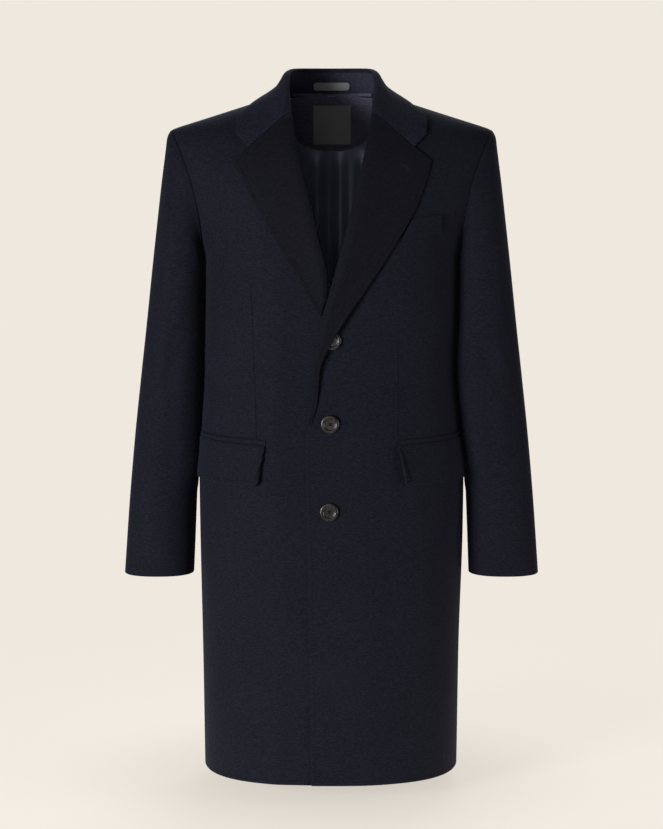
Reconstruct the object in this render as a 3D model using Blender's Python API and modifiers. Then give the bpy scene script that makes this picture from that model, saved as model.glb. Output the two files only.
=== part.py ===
"""Single-breasted wool overcoat, filled out and hollow, as it hangs on a general figure.

Metres, +Z up. The origin is the centre of the neck at the height of the back neck seam.
The coat's front faces -Y, and +X is the wearer's left. Each panel is a wall of cloth worked
out from sections of the body, with 0.3 mm between neighbours at a seam.
"""

import math

import bmesh
import bpy
import numpy as np
from mathutils import Vector
from mathutils.bvhtree import BVHTree

# ---------------------------------------------------------------- driving sizes
SEAM_GAP = 0.0003        # between two pieces that are sewn together
CLOTH = 0.0024           # one wall of the overcoat: wool, canvas and its lining
LAPEL_CLOTH = 0.0026     # a lapel: facing and front, pressed together
COLLAR_CLOTH = 0.0022
STAND_CLOTH = 0.0016
THIN_CLOTH = 0.0010      # lining and facing
LAY_GAP = 0.0006         # under a piece that lies on a panel
POINT_GAP = 0.0010       # more of it under the collar's points, over the curve of the chest
LAPEL_GAP = 0.0011       # under a lapel, over the curve of the chest
COLLAR_GAP = 0.0013      # under the collar leaf, over the corner of the shoulder
FACING_GAP = 0.0011      # under the neck facing, over the lining
LABEL_GAP = 0.0010
UNDERLAP_GAP = 0.0010    # between the two fronts where they overlap

HEM_Z = -0.969
ARMPIT_Z = -0.235
NECK_Z = -0.005          # where the shoulder seam meets the neck
NECK_HALF = 0.082        # half the width of the neck at the shoulder seams
NECK_BACK = 0.066        # from the shoulder line to the back neck seam
BACK_NECK_Z = 0.0        # the back neck seam, at the middle
SHOULDER_TIP = (0.228, -0.0525)     # x, z
ARMPIT = (0.1825, ARMPIT_Z)         # x, z
ARMHOLE_FRONT = 0.072    # how far the armhole swings forward, and back, of the shoulder line
ARMHOLE_BACK = 0.078
ARMHOLE_BOW = 0.012      # how far its sides curve in towards the chest
ROUNDNESS = 2.5          # exponent of a body section: 2 is an ellipse, more is flatter in front
YOKE = 2.2               # exponent of the roll from the chest over the shoulder
RING = 2.3               # exponent of the armhole and of a sleeve's ring
SHADES = {"wool": (0.006, 0.008, 0.018), "satin": (0.010, 0.013, 0.028),
          "horn": (0.020, 0.018, 0.020), "tape": (0.012, 0.012, 0.014)}

# Sections of the body, hem to armpit: height, half width, shift of the middle, depths.
BODY = (
    # z       half_width  shift   front   back
    (-0.969,  0.1840,   -0.001,  0.165,  0.150),
    (-0.800,  0.1862,   -0.001,  0.161,  0.150),
    (-0.620,  0.1905,    0.000,  0.155,  0.150),
    (-0.545,  0.1912,    0.000,  0.151,  0.148),
    (-0.470,  0.1872,   -0.002,  0.144,  0.141),
    (-0.390,  0.1816,   -0.003,  0.136,  0.129),
    (-0.300,  0.1818,   -0.001,  0.143,  0.131),
    (-0.235,  0.1825,    0.000,  0.146,  0.135),
)
# Inner edge of each front, by height: the free edge below, the roll of the lapel above.
LEFT_EDGE = (
    # z       x
    (-0.969, -0.0280), (-0.700, -0.0320), (-0.484, -0.0355), (-0.429, -0.0245),
    (-0.379, -0.0212), (-0.340, -0.0128), (-0.306, -0.0059), (-0.274,  0.0031),
    (-0.198,  0.0240), (-0.100,  0.0480), (-0.040,  0.0620), (-0.026,  0.0680),
    (-0.014,  0.0755), (-0.005,  0.0820),
)
RIGHT_EDGE = (
    (-0.969,  0.0280), (-0.700,  0.0280), (-0.429,  0.0280), (-0.335,  0.0240),
    (-0.306,  0.0090), (-0.274, -0.0060), (-0.198, -0.0240), (-0.100, -0.0480),
    (-0.040, -0.0620), (-0.026, -0.0680), (-0.014, -0.0755), (-0.005, -0.0820),
)
# Where the right front steps back under the left one: from this x, over this width, and
# from this height down, over this drop.
UNDERLAP = (-0.085, 0.040, -0.190, 0.070)
# Lapels, bottom to top: height and x of the roll line, height and x of the free edge, and
# how far the roll stands off the front there, over the top button for one.
LEFT_LAPEL = (
    # roll_z   roll_x    edge_z   edge_x   stand_off
    (-0.462, -0.0310,  -0.462, -0.0275,  0.0000),
    (-0.429, -0.0245,  -0.434, -0.0190,  0.0012),
    (-0.379, -0.0212,  -0.384, -0.0135,  0.0045),
    (-0.340, -0.0128,  -0.348,  0.0000,  0.0060),
    (-0.306, -0.0059,  -0.318,  0.0175,  0.0052),
    (-0.274,  0.0031,  -0.290,  0.0370,  0.0025),
    (-0.198,  0.0240,  -0.228,  0.0790,  0.0004),
    (-0.120,  0.0430,  -0.160,  0.1190,  0.0000),
    (-0.070,  0.0545,  -0.118,  0.1340,  0.0000),
    (-0.035,  0.0600,  -0.098,  0.1390,  0.0000),
)
RIGHT_LAPEL = (
    (-0.308, -0.0165,  -0.309, -0.0170,  0.0000),
    (-0.300, -0.0150,  -0.302, -0.0222,  0.0000),
    (-0.286, -0.0105,  -0.290, -0.0300,  0.0000),
    (-0.262, -0.0092,  -0.270, -0.0410,  0.0008),
    (-0.198, -0.0240,  -0.218, -0.0720,  0.0000),
    (-0.120, -0.0430,  -0.150, -0.1110,  0.0000),
    (-0.070, -0.0545,  -0.118, -0.1280,  0.0000),
    (-0.035, -0.0600,  -0.098, -0.1390,  0.0000),
)
# Collar, from the middle of the back to its front end. Each row has the fold, the seam at
# the foot of the stand, and the leaf's free edge.
COLLAR = (
    # fold x, y, z             seam x, y, z               edge x, y, z
    (0.0000,  0.064,  0.0335,  0.0000,  0.0655,  0.0010,  0.000,  0.088, -0.014),
    (0.0350,  0.055,  0.0332,  0.0410,  0.0570,  0.0010,  0.050,  0.079, -0.014),
    (0.0550,  0.031,  0.0315,  0.0695,  0.0350,  0.0000,  0.081,  0.047, -0.013),
    (0.0635,  0.000,  0.0250,  0.0812,  0.0005, -0.0034,  0.100,  0.004, -0.010),
    (0.0645, -0.028,  0.0100,  0.0795, -0.0283, -0.0062,  0.115, -0.035, -0.019),
    (0.0620, -0.054, -0.0090,  0.0740, -0.0540, -0.0150,  0.128, -0.060, -0.040),
    (0.0585, -0.080, -0.0325,  0.0640, -0.0700, -0.0250,  0.133, -0.080, -0.062),
)
NECK_CENTRE = 0.020            # how far forward the collar's own middle lies
STAND_STATIONS = 4.6           # the stand stops between two rows of the table, inside the leaf

# Sleeve rings, shoulder to cuff: outermost and innermost point in the front view, the
# ring's middle in depth, and half its depth.
SLEEVE = (
    # outer x, z         inner x, z         mid_y   half_depth
    (0.2280, -0.0525,  0.1825, -0.2350,   0.003,  0.0750),
    (0.2345, -0.0660,  0.1840, -0.2450,   0.003,  0.0750),
    (0.2412, -0.1100,  0.1846, -0.2600,   0.002,  0.0760),
    (0.2495, -0.1800,  0.1844, -0.2850,   0.000,  0.0745),
    (0.2580, -0.2550,  0.1840, -0.3180,  -0.002,  0.0720),
    (0.2655, -0.3250,  0.1838, -0.3550,  -0.003,  0.0700),
    (0.2745, -0.4050,  0.1853, -0.4150,  -0.006,  0.0670),
    (0.2830, -0.4850,  0.1905, -0.4900,  -0.011,  0.0625),
    (0.2912, -0.5800,  0.1945, -0.5800,  -0.019,  0.0560),
    (0.2985, -0.6870,  0.1985, -0.6870,  -0.029,  0.0490),
)
SLEEVE_RADIUS = 0.024          # the smallest radius of a sleeve, which sets the angle of its seam gap
SLEEVE_SEAMS = (150.0, 262.0)  # degrees round a ring from its outermost point, by the front

# Pockets on the body's sections: x at the front end, y at the side end, heights.
FLAP_TOP, FLAP_DEEP, FLAP_DROP = -0.487, 0.058, 0.004
FLAP_FRONT_X, FLAP_SLANT, FLAP_SIDE_Y = 0.092, 0.007, -0.045
FLAP_CLOTH, FLAP_FLARE = 0.0022, 0.0022   # its lower edge stands this far off
FLAP_CORNER = 0.010      # radius of its lower front corner
JET_DEEP, JET_CLOTH = 0.005, 0.0012
WELT_CLOTH, WELT_GAP = 0.0020, 0.0010
WELT = (
    # top x, z            bottom x, z, from the lapel outwards
    (0.1105, -0.1790,  0.0955, -0.2090),
    (0.1310, -0.1752,  0.1240, -0.2035),
    (0.1530, -0.1712,  0.1520, -0.1980),
)
BUTTONS = ((0.0007, -0.346), (-0.0021, -0.4615), (-0.0034, -0.583))    # x, z
BUTTON_R, BUTTON_THICK = 0.0127, 0.0038
SHANK_R, SHANK_LONG = 0.0022, 0.0012

FACING_HALF, FACING_TOP, FACING_LOW = 0.054, -0.0085, -0.080
FACING_CURVE = (0.008, 0.036)  # how much lower its top, and higher its bottom, is at the sides
FACING_ROUND = 2.6             # exponent of its rounded bottom
LINING_HALF, LINING_TOP, LINING_LOW, LINING_CURVE = 0.110, -0.030, -0.360, 0.012
PLEAT_DEEP, PLEAT_HALF = 0.0045, 0.006
SIDE_FOLD_DEEP, SIDE_FOLD_APART = 0.0020, 0.042
FOLDS_HALF, FOLDS_FADE = 0.070, 0.050
LABEL_TOP, LABEL_SHIFT = -0.0175, 0.0015
LABEL_SIZE = (0.055, 0.0530)   # width, drop
TAB_TOP, TAB_SIZE = 0.0175, (0.052, 0.0115)
TAPE_CLOTH = 0.0006


# ---------------------------------------------------------------- helpers
def column(table, index, at, key=0):
    """One column of a table at the given key, smooth between its rows and monotone there."""
    rows = np.array(table)
    keys, values = rows[:, key], rows[:, index]
    steps = np.diff(keys)
    rates = np.diff(values) / steps
    slope = np.zeros(len(keys))
    slope[1:-1] = np.where(
        rates[1:] * rates[:-1] > 0,
        2 * rates[1:] * rates[:-1] / np.where(rates[1:] + rates[:-1] == 0, 1, rates[1:] + rates[:-1]),
        0.0,
    )
    slope[0], slope[-1] = rates[0], rates[-1]
    at = np.clip(np.asarray(at, float), keys[0], keys[-1])
    i = np.clip(np.searchsorted(keys, at, side="right") - 1, 0, len(steps) - 1)
    t = (at - keys[i]) / steps[i]
    return (
        values[i] * (1 + 2 * t) * (1 - t) ** 2
        + slope[i] * steps[i] * t * (1 - t) ** 2
        + values[i + 1] * t * t * (3 - 2 * t)
        - slope[i + 1] * steps[i] * t * t * (1 - t)
    )


def power(value, exponent):
    return np.sign(value) * np.abs(value) ** (2 / exponent)


def smooth(value):
    value = np.clip(value, 0, 1)
    return value * value * (3 - 2 * value)


def spread(points, count):
    """The same curve with its points evenly spaced along its length."""
    along = np.r_[0, np.cumsum(np.linalg.norm(np.diff(points, axis=0), axis=1))]
    even = np.linspace(0, along[-1], count)
    return np.stack([np.interp(even, along, points[:, k]) for k in range(points.shape[1])], axis=1)


def normals(grid, middle):
    """Unit normals of a grid of points, pointing away from the upright line at middle."""
    across = np.gradient(grid, axis=1)
    up = np.gradient(grid, axis=0)
    found = np.cross(across, up)
    found /= np.linalg.norm(found, axis=2, keepdims=True) + 1e-12
    away = grid - np.array([middle[0], middle[1], 0])
    away[..., 2] = 0
    return found if (found * away).sum() > 0 else -found


def finish(name, mesh, shade):
    obj = bpy.data.objects.new(name, mesh)
    COAT.objects.link(obj)
    material = bpy.data.materials.new(name)
    material.use_nodes = True
    bsdf = material.node_tree.nodes["Principled BSDF"]
    bsdf.inputs["Base Color"].default_value = (*SHADES[shade], 1)
    bsdf.inputs["Roughness"].default_value = {"wool": 0.9, "satin": 0.4, "horn": 0.25, "tape": 0.7}[shade]
    bsdf.inputs["Metallic"].default_value = 0.0
    mesh.materials.append(material)
    mesh.shade_smooth()
    mesh.set_sharp_from_angle(angle=math.radians(50))
    return obj


def loft_between(name, outer, inner, shade="wool"):
    """A closed wall between two grids of points, with a rim that joins their edges."""
    rows, cols = outer.shape[:2]
    mesh = bmesh.new()
    outer_v = [[mesh.verts.new(p) for p in row] for row in outer]
    inner_v = [[mesh.verts.new(p) for p in row] for row in inner]
    for i in range(rows - 1):
        for j in range(cols - 1):
            mesh.faces.new((outer_v[i][j], outer_v[i][j + 1], outer_v[i + 1][j + 1], outer_v[i + 1][j]))
            mesh.faces.new((inner_v[i][j], inner_v[i + 1][j], inner_v[i + 1][j + 1], inner_v[i][j + 1]))
    rim = (
        [(0, j) for j in range(cols)]
        + [(i, cols - 1) for i in range(1, rows)]
        + [(rows - 1, j) for j in range(cols - 2, -1, -1)]
        + [(i, 0) for i in range(rows - 2, 0, -1)]
    )
    for (i, j), (k, m) in zip(rim, rim[1:] + rim[:1]):
        mesh.faces.new((outer_v[i][j], inner_v[i][j], inner_v[k][m], outer_v[k][m]))
    if mesh.calc_volume(signed=True) < 0:
        bmesh.ops.reverse_faces(mesh, faces=mesh.faces)
    data = bpy.data.meshes.new(name)
    mesh.to_mesh(data)
    mesh.free()
    return finish(name, data, shade)


def wall(name, grid, thick, shade="wool", middle=(0, 0), keep=None):
    """A wall of cloth: the grid is its outer face, and the inner face lies thick inside it.

    keep moves inner points back behind a seam's plane. The rim joins the two faces.
    """
    outward = normals(grid, middle)
    inner = grid - thick * outward
    if keep:
        inner = keep(inner)
    return loft_between(name, grid, inner, shade)


def tree_of(*objects):
    points, faces = [], []
    for obj in objects:
        start = len(points)
        points += [v.co.copy() for v in obj.data.vertices]
        faces += [[start + v for v in p.vertices] for p in obj.data.polygons]
    return BVHTree.FromPolygons(points, faces)


def lay(tree, x, z, lift, start=-1.0, inward=0.0, down=0.0):
    """The point of a panel straight behind (x, z) in the front view, moved out by lift.

    Past the panel's edge the search steps inward, or down, until it meets the panel.
    """
    for step in range(20):
        aim = Vector((x + inward * step, start, z - down * step))
        hit, normal, _, _ = tree.ray_cast(aim, Vector((0, 1, 0)))
        if hit:
            return np.array(hit + normal * lift)
    raise ValueError(f"no panel behind x {x:.3f}, z {z:.3f}")


def clear_of(tree, point, out, lift, seat=False):
    """The point, moved along out until it is at least lift off the panels, or just that."""
    out = Vector(out).normalized()
    hit, _, _, _ = tree.ray_cast(Vector(point) + 0.15 * out, -out)
    if hit and (seat or (Vector(point) - hit).dot(out) < lift):
        return np.array(hit + out * lift)
    return np.array(point)


# ---------------------------------------------------------------- the body's surface
def levels(below, above):
    """Heights of the rows: 0 at the hem to 1 at the armpit, then 1 to 2 at the shoulder."""
    low = np.linspace(0, 1, below + 1)
    turn = np.linspace(0, math.pi / 2, above + 1)[1:]
    return np.r_[low, 1 + np.sin(turn) ** (2 / YOKE)]


def armhole(rise, front):
    """A point of the armhole: rise 0 at the armpit, 1 at the shoulder tip."""
    turn = math.pi * (1 - rise)
    mid = (np.array(SHOULDER_TIP) + np.array(ARMPIT)) / 2
    reach = (np.array(SHOULDER_TIP) - np.array(ARMPIT)) / 2
    x, z = mid + reach * math.cos(turn)
    swing = ARMHOLE_FRONT if front else ARMHOLE_BACK
    return x - ARMHOLE_BOW * math.sin(turn) ** 2, swing * power(math.sin(turn), RING), z


def section(side, level, front, cols, edge=None):
    """One row of a panel, from its inner edge to the side seam or armhole."""
    rise = max(level - 1, 0)
    z_out = HEM_Z + (ARMPIT_Z - HEM_Z) * min(level, 1)
    shift = float(column(BODY, 2, z_out))
    full = depth = float(column(BODY, 3 if front else 4, z_out))
    x_out, y_out = float(column(BODY, 1, z_out)), 0.0
    z_in = z_out
    if rise > 0:
        x_out, y_out, z_out = armhole(min(rise, 1), front)
        depth *= max(1 - rise ** YOKE, 0) ** (1 / YOKE)
        z_in = ARMPIT_Z + (NECK_Z - ARMPIT_Z) * rise
        if not front:
            turn_in = (1 - (NECK_BACK / full) ** YOKE) ** (1 / YOKE)
            z_in = ARMPIT_Z + (BACK_NECK_Z - ARMPIT_Z) * min(rise / turn_in, 1)
            z_in += (NECK_Z - BACK_NECK_Z) * max(rise - turn_in, 0) / (1 - turn_in)
    depth = max(depth, 1e-5)
    closing = min(abs(y_out) / depth, 0.97)
    wide = x_out / (1 - closing ** ROUNDNESS) ** (1 / ROUNDNESS)
    if front:
        x_in = side * float(column(edge, 1, z_in)) - side * shift
    else:
        x_in = NECK_HALF * math.sqrt(max(1 - (depth / NECK_BACK) ** 2, 0)) if depth < NECK_BACK else 0.0
    start = math.asin(np.clip(abs(x_in / wide) ** (ROUNDNESS / 2), 0, 1)) * np.sign(x_in)
    end = math.asin(np.clip((x_out / wide) ** (ROUNDNESS / 2), 0, 1))
    turn = np.linspace(start, end, 240)
    curve = np.stack(
        [wide * power(np.sin(turn), ROUNDNESS), depth * power(np.cos(turn), ROUNDNESS)], axis=1
    )
    curve = spread(curve, cols + 1)
    share = np.linspace(0, 1, cols + 1)
    z = z_in + (z_out - z_in) * share
    return np.stack([side * curve[:, 0] + shift, (-1 if front else 1) * curve[:, 1], z], axis=1)


def panel(side, front, cols, rows, edge=None):
    grid = np.array([section(side, level, front, cols, edge) for level in rows])
    half = SEAM_GAP / 2
    if front:
        grid[..., 1] = np.minimum(grid[..., 1], -half)
    else:
        grid[..., 1] = np.maximum(grid[..., 1], half)
        grid[..., 0] = side * np.maximum(side * grid[..., 0], half)
    return grid


def behind_seams(side, front):
    half = SEAM_GAP / 2

    def keep(points):
        if front:
            points[..., 1] = np.minimum(points[..., 1], -half)
        else:
            points[..., 1] = np.maximum(points[..., 1], half)
            points[..., 0] = side * np.maximum(side * points[..., 0], half)
        return points

    return keep


def build_body():
    rows = levels(16, 12)
    left = panel(1, True, 13, rows, LEFT_EDGE)
    right = panel(-1, True, 13, rows, RIGHT_EDGE)
    # The right front lies under the left one near the middle, below the lapels.
    from_x, over_x, from_z, over_z = UNDERLAP
    tuck = smooth((right[..., 0] - from_x) / over_x) * smooth((from_z - right[..., 2]) / over_z)
    right[..., 1] += (CLOTH + UNDERLAP_GAP) * tuck
    fronts = [
        wall("front_left", left, CLOTH, keep=behind_seams(1, True)),
        wall("front_right", right, CLOTH, keep=behind_seams(-1, True)),
    ]
    backs = [
        wall("back_left", panel(1, False, 10, rows), CLOTH, keep=behind_seams(1, False)),
        wall("back_right", panel(-1, False, 10, rows), CLOTH, keep=behind_seams(-1, False)),
    ]
    return fronts, backs


# ---------------------------------------------------------------- lapels and collar
LAPEL_CROSS = (
    # share of the width, sideways past the roll, lift above the lying height
    (0.00, -0.0044, -0.0040), (0.00, -0.0044, 0.0012), (0.04, -0.0014, 0.0036),
    (0.12, 0.0, 0.0040), (0.22, 0.0, 0.0032), (0.34, 0.0, 0.0020), (0.47, 0.0, 0.0010),
    (0.60, 0.0, 0.0004), (0.72, 0.0, 0.0), (0.84, 0.0, 0.0), (0.93, 0.0, 0.0), (1.00, 0.0, 0.0),
)

ROLL_INSET = 0.0015   # the roll is laid on the front this far in from its edge
LAPEL_FULL = 0.030    # from this width on, a lapel's roll has its full height
ROLL_HELD, ROLL_WIDE = 0.3, 0.12   # share of the stand off at the roll, and where it is whole


def lapel(name, side, table, front, rows):
    tree = tree_of(front)
    index = np.linspace(0, len(table) - 1, rows)
    keyed = [(k, *row) for k, row in enumerate(table)]
    lying = LAPEL_CLOTH + LAPEL_GAP
    grid = []
    for k in index:
        roll_z, roll_x, edge_z, edge_x, stand_off = (float(column(keyed, c, k)) for c in range(1, 6))
        wide = abs(edge_x - roll_x)
        row = []
        for share, past, lift in LAPEL_CROSS:
            x = roll_x + (edge_x - roll_x) * share
            z = roll_z + (edge_z - roll_z) * share
            over = side * max(side * x, side * roll_x + ROLL_INSET)
            scale = min(1.0, wide / LAPEL_FULL) if lift > 0 else 1.0
            if past and tree.ray_cast(Vector((x + side * past, -1, z)), Vector((0, 1, 0)))[0]:
                lift = max(lift, 0)
            opened = ROLL_HELD + (1 - ROLL_HELD) * float(smooth(share / ROLL_WIDE))
            proud = lying + lift * scale + stand_off * opened
            point = lay(tree, over, z, proud, inward=side * 0.002)
            point[0] = x + side * past
            row.append(point)
        grid.append(row)
    wall(name, np.array(grid), LAPEL_CLOTH, middle=(-side * 0.2, 0.3))
    return np.array(grid[-1])


def collar_point(station, which):
    rows = [(k, *row) for k, row in enumerate(COLLAR)]
    side = 1 if station >= 0 else -1
    x, y, z = (float(column(rows, 1 + 3 * which + c, abs(station))) for c in range(3))
    return np.array([side * x, y, z])


def away_from_neck(point):
    """The level direction from a point inside the neck, a little behind its middle."""
    flat = np.array([point[0], point[1] + NECK_CENTRE, 0.0])
    return flat / np.linalg.norm(flat)


LEAF_TURN = (
    # sideways from the fold, up from it: the turn of the leaf over the stand
    (-0.0052, -0.0010), (-0.0040, 0.0030), (0.0004, 0.0046), (0.0052, 0.0020),
)
LEAF_FALL = (
    # share of the way from the turn to the edge, how far it hollows towards the neck
    (0.22, 0.0030), (0.45, 0.0058), (0.68, 0.0034), (0.74, 0.0024), (0.80, 0.0014), (0.90, 0.0004), (1.00, 0.0),
)
NOTCH_SHARE = 0.74    # the share at which the collar's end turns from the gorge to its point
GORGE_AT = (0, 1, 2, 3, 4, 5.45, 7, 7.8)   # columns of the lapel's top row that the end is sewn along
GORGE_GAP = 0.0008    # between the collar's end and the lapel it is sewn to
STAND_TOP = 0.96      # the stand ends at this share of the way up, below the leaf's turn
POINT_DROP = (1.3, 0.7)   # how the way out of the body turns forward and less upward at the points


def gorge_line(top_row, side):
    """The end of the collar along the lapel's top row, as far as the notch, and a gap above it."""
    columns = range(len(top_row))
    line = np.stack([np.interp(GORGE_AT, columns, top_row[:, axis]) for axis in range(3)], axis=1)
    run = line[-1] - line[0]
    above = np.array([-run[2], 0.0, run[0]]) * side / math.hypot(run[0], run[2])
    return line + above * GORGE_GAP


def build_collar(fronts, backs, left_gorge, right_gorge):
    body = tree_of(*fronts, *backs)
    stations = np.linspace(-STAND_STATIONS, STAND_STATIONS, 23)
    foot = np.array([collar_point(s, 1) for s in stations])
    fold = np.array([collar_point(s, 0) for s in stations])
    stand = [foot + (fold - foot) * share for share in np.linspace(0, STAND_TOP, 4)]
    wall("collar_stand", np.array(stand), STAND_CLOTH)
    last = len(COLLAR) - 1
    stations = np.linspace(-last, last, 37)
    forward, less_up = POINT_DROP
    turned = len(LEAF_TURN)
    grid = []
    for s in stations:
        fold, edge = collar_point(s, 0), collar_point(s, 2)
        out = away_from_neck(fold)
        end = smooth(abs(s) - (last - 1))
        lying = COLLAR_CLOTH + COLLAR_GAP + POINT_GAP * end
        aim = out * (1 - end) + np.array([0, -forward * end, 1 - less_up * end])
        edge = clear_of(body, edge, aim, lying, seat=True)
        line = [fold + out * a + np.array([0, 0, b]) for a, b in LEAF_TURN]
        start = line[-1]
        gorge = left_gorge if s >= 0 else right_gorge
        notch = gorge[-1]
        line = [own + (sewn - own) * end for own, sewn in zip(line, gorge)]
        for k, (share, hollow) in enumerate(LEAF_FALL, turned):
            straight = start + (edge - start) * share - out * hollow * (1 - end)
            to_tip = (share - NOTCH_SHARE) / (1 - NOTCH_SHARE)
            cornered = gorge[k] if k < len(gorge) else notch + (edge - notch) * to_tip
            mixed = straight + (cornered - straight) * end
            line.append(mixed if end == 1 and k < len(gorge) else clear_of(body, mixed, aim, lying))
        grid.append(line)
    return wall("collar_leaf", np.array(grid), COLLAR_CLOTH)


# ---------------------------------------------------------------- sleeves
def sleeve_ring(side, station, turns):
    rows = [(k, *row) for k, row in enumerate(SLEEVE)]
    outer_x, outer_z, inner_x, inner_z, mid_y, deep = (
        float(column(rows, c, station)) for c in range(1, 7)
    )
    inner_x += side * float(column(BODY, 2, inner_z))
    mid = np.array([(outer_x + inner_x) / 2, (outer_z + inner_z) / 2])
    reach = np.array([outer_x - inner_x, outer_z - inner_z]) / 2
    blend = smooth(station / 3)
    cos, sin = np.cos(turns), np.sin(turns)
    x = mid[0] + reach[0] * (cos + (power(cos, RING) - cos) * blend) - ARMHOLE_BOW * sin ** 2 * (1 - blend)
    z = mid[1] + reach[1] * (cos + (power(cos, RING) - cos) * blend)
    swing = np.where(sin > 0, ARMHOLE_FRONT, ARMHOLE_BACK)
    y_arm = -swing * power(sin, RING)
    y = y_arm + (mid_y - deep * power(sin, RING) - y_arm) * blend
    return np.stack([side * x, y, z], axis=1)


def build_sleeves():
    fore, hind = (math.radians(a) for a in SLEEVE_SEAMS)
    gap = SEAM_GAP / SLEEVE_RADIUS
    arcs = {
        "top": np.linspace(hind - 2 * math.pi + gap / 2, fore - gap / 2, 16),
        "under": np.linspace(fore + gap / 2, hind - gap / 2, 9),
    }
    stations = np.r_[0, 0.5, 1, 1.5, 2, 2.5, 3, 3.5, 4, 4.5, 5, 5.5, 6, 6.6, 7.2, 7.8, 8.4, 9]
    for side, word in ((1, "left"), (-1, "right")):
        for part, turns in arcs.items():
            grid = np.array([sleeve_ring(side, s, turns) for s in stations])
            grid[0, :, 0] += side * (2 * SEAM_GAP)
            grid[1, :, 0] += side * SEAM_GAP
            loft_between(f"sleeve_{part}_{word}", grid, grid - CLOTH * sleeve_outward(side, stations, turns))


def sleeve_outward(side, stations, turns):
    """Unit normals of the sleeve's surface, the same for both of its panels along a seam."""
    small = 0.01
    found = []
    for s in stations:
        round_it = sleeve_ring(side, s, turns + small) - sleeve_ring(side, s, turns - small)
        low, high = max(s - small, 0), min(s + small, len(SLEEVE) - 1)
        along = sleeve_ring(side, high, turns) - sleeve_ring(side, low, turns)
        found.append(side * np.cross(round_it, along))
    found = np.array(found)
    found[0, :, 0] = 0
    return found / np.linalg.norm(found, axis=2, keepdims=True)


# ---------------------------------------------------------------- pockets
def front_arc(side, z, x_start, y_end, count):
    """Points along the body's section at height z, from x_start round to y_end at the side."""
    half, shift, depth = (float(column(BODY, c, z)) for c in (1, 2, 3))
    start = math.asin(((x_start - side * shift) / half) ** (ROUNDNESS / 2))
    end = math.acos((abs(y_end) / depth) ** (ROUNDNESS / 2))
    turn = np.linspace(start, end, 200)
    curve = np.stack([half * power(np.sin(turn), ROUNDNESS), depth * power(np.cos(turn), ROUNDNESS)], axis=1)
    curve = spread(curve, count)
    return np.stack([side * curve[:, 0] + shift, -curve[:, 1], np.full(count, z)], axis=1)


def corner_rise(along, radius):
    """How far a rounded corner lifts the lower edge, by the distance from the front end."""
    left = np.maximum(radius - along, 0)
    return radius - np.sqrt(radius ** 2 - left ** 2)


def pocket_strip(name, side, top, drop, lift, thick, count, rows, slant=0.0, flare=0.0, corner=0.0):
    grid = []
    for share in np.linspace(0, 1, rows):
        z = top - drop * share
        arc = front_arc(side, z, FLAP_FRONT_X + slant * share, FLAP_SIDE_Y, count)
        arc[:, 2] -= FLAP_DROP * (1 - np.linspace(0, 1, count))
        arc[:, 2] += share * corner_rise(np.linalg.norm(arc[:, :2] - arc[0, :2], axis=1), corner)
        grid.append(arc)
    grid = np.array(grid)
    rise = lift + flare * np.linspace(0, 1, rows)[:, None, None] ** 1.5
    return wall(name, grid + normals(grid, (0, 0)) * (rise + thick), thick)


def build_pockets(front_left):
    for side, word in ((1, "left"), (-1, "right")):
        pocket_strip(f"flap_{word}", side, FLAP_TOP, FLAP_DEEP, LAY_GAP, FLAP_CLOTH, 11, 6,
                     FLAP_SLANT, FLAP_FLARE, FLAP_CORNER)
        pocket_strip(f"jet_{word}", side, FLAP_TOP + JET_DEEP + LAY_GAP, JET_DEEP, LAY_GAP, JET_CLOTH, 11, 2)
    tree = tree_of(front_left)
    lift = WELT_GAP + WELT_CLOTH
    rows = [(k, *row) for k, row in enumerate(WELT)]
    grid = []
    for share in (0, 0.5, 1):
        line = []
        for k in np.linspace(0, 2, 7):
            top_x, top_z, low_x, low_z = (float(column(rows, c, k)) for c in (1, 2, 3, 4))
            line.append(lay(tree, top_x + (low_x - top_x) * share, top_z + (low_z - top_z) * share, lift))
        grid.append(line)
    wall("breast_welt", np.array(grid), WELT_CLOTH)


# ---------------------------------------------------------------- inside the neck
def inner_sheet(name, tree, xs, zs, lift, thick, shade, fold=None):
    """A sheet that lies inside the back: from its inner face, moved forward by lift."""
    grid = []
    for z_row in zs:
        line = []
        for x, z in zip(xs, np.broadcast_to(z_row, len(xs))):
            point = lay(tree, x if abs(x) > 0.001 else 0.001, z, lift, start=0.0, down=0.001)
            point[0] = x
            if fold:
                point[1] -= fold(x, z)
            line.append(point)
        grid.append(line)
    grid = np.array(grid)
    return wall(name, grid + normals(grid, (0, 0)) * thick, thick, shade)


def lining_fold(x, z):
    """The centre pleat and a soft fold each side, which fade out upwards."""
    pleat = PLEAT_DEEP * math.exp(-(x / PLEAT_HALF) ** 2)
    sides = SIDE_FOLD_DEEP * (1 + math.cos(2 * math.pi * x / SIDE_FOLD_APART)) * math.exp(-(x / FOLDS_HALF) ** 2)
    return (pleat + sides) * float(smooth((FACING_LOW - z) / FOLDS_FADE))


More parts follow.
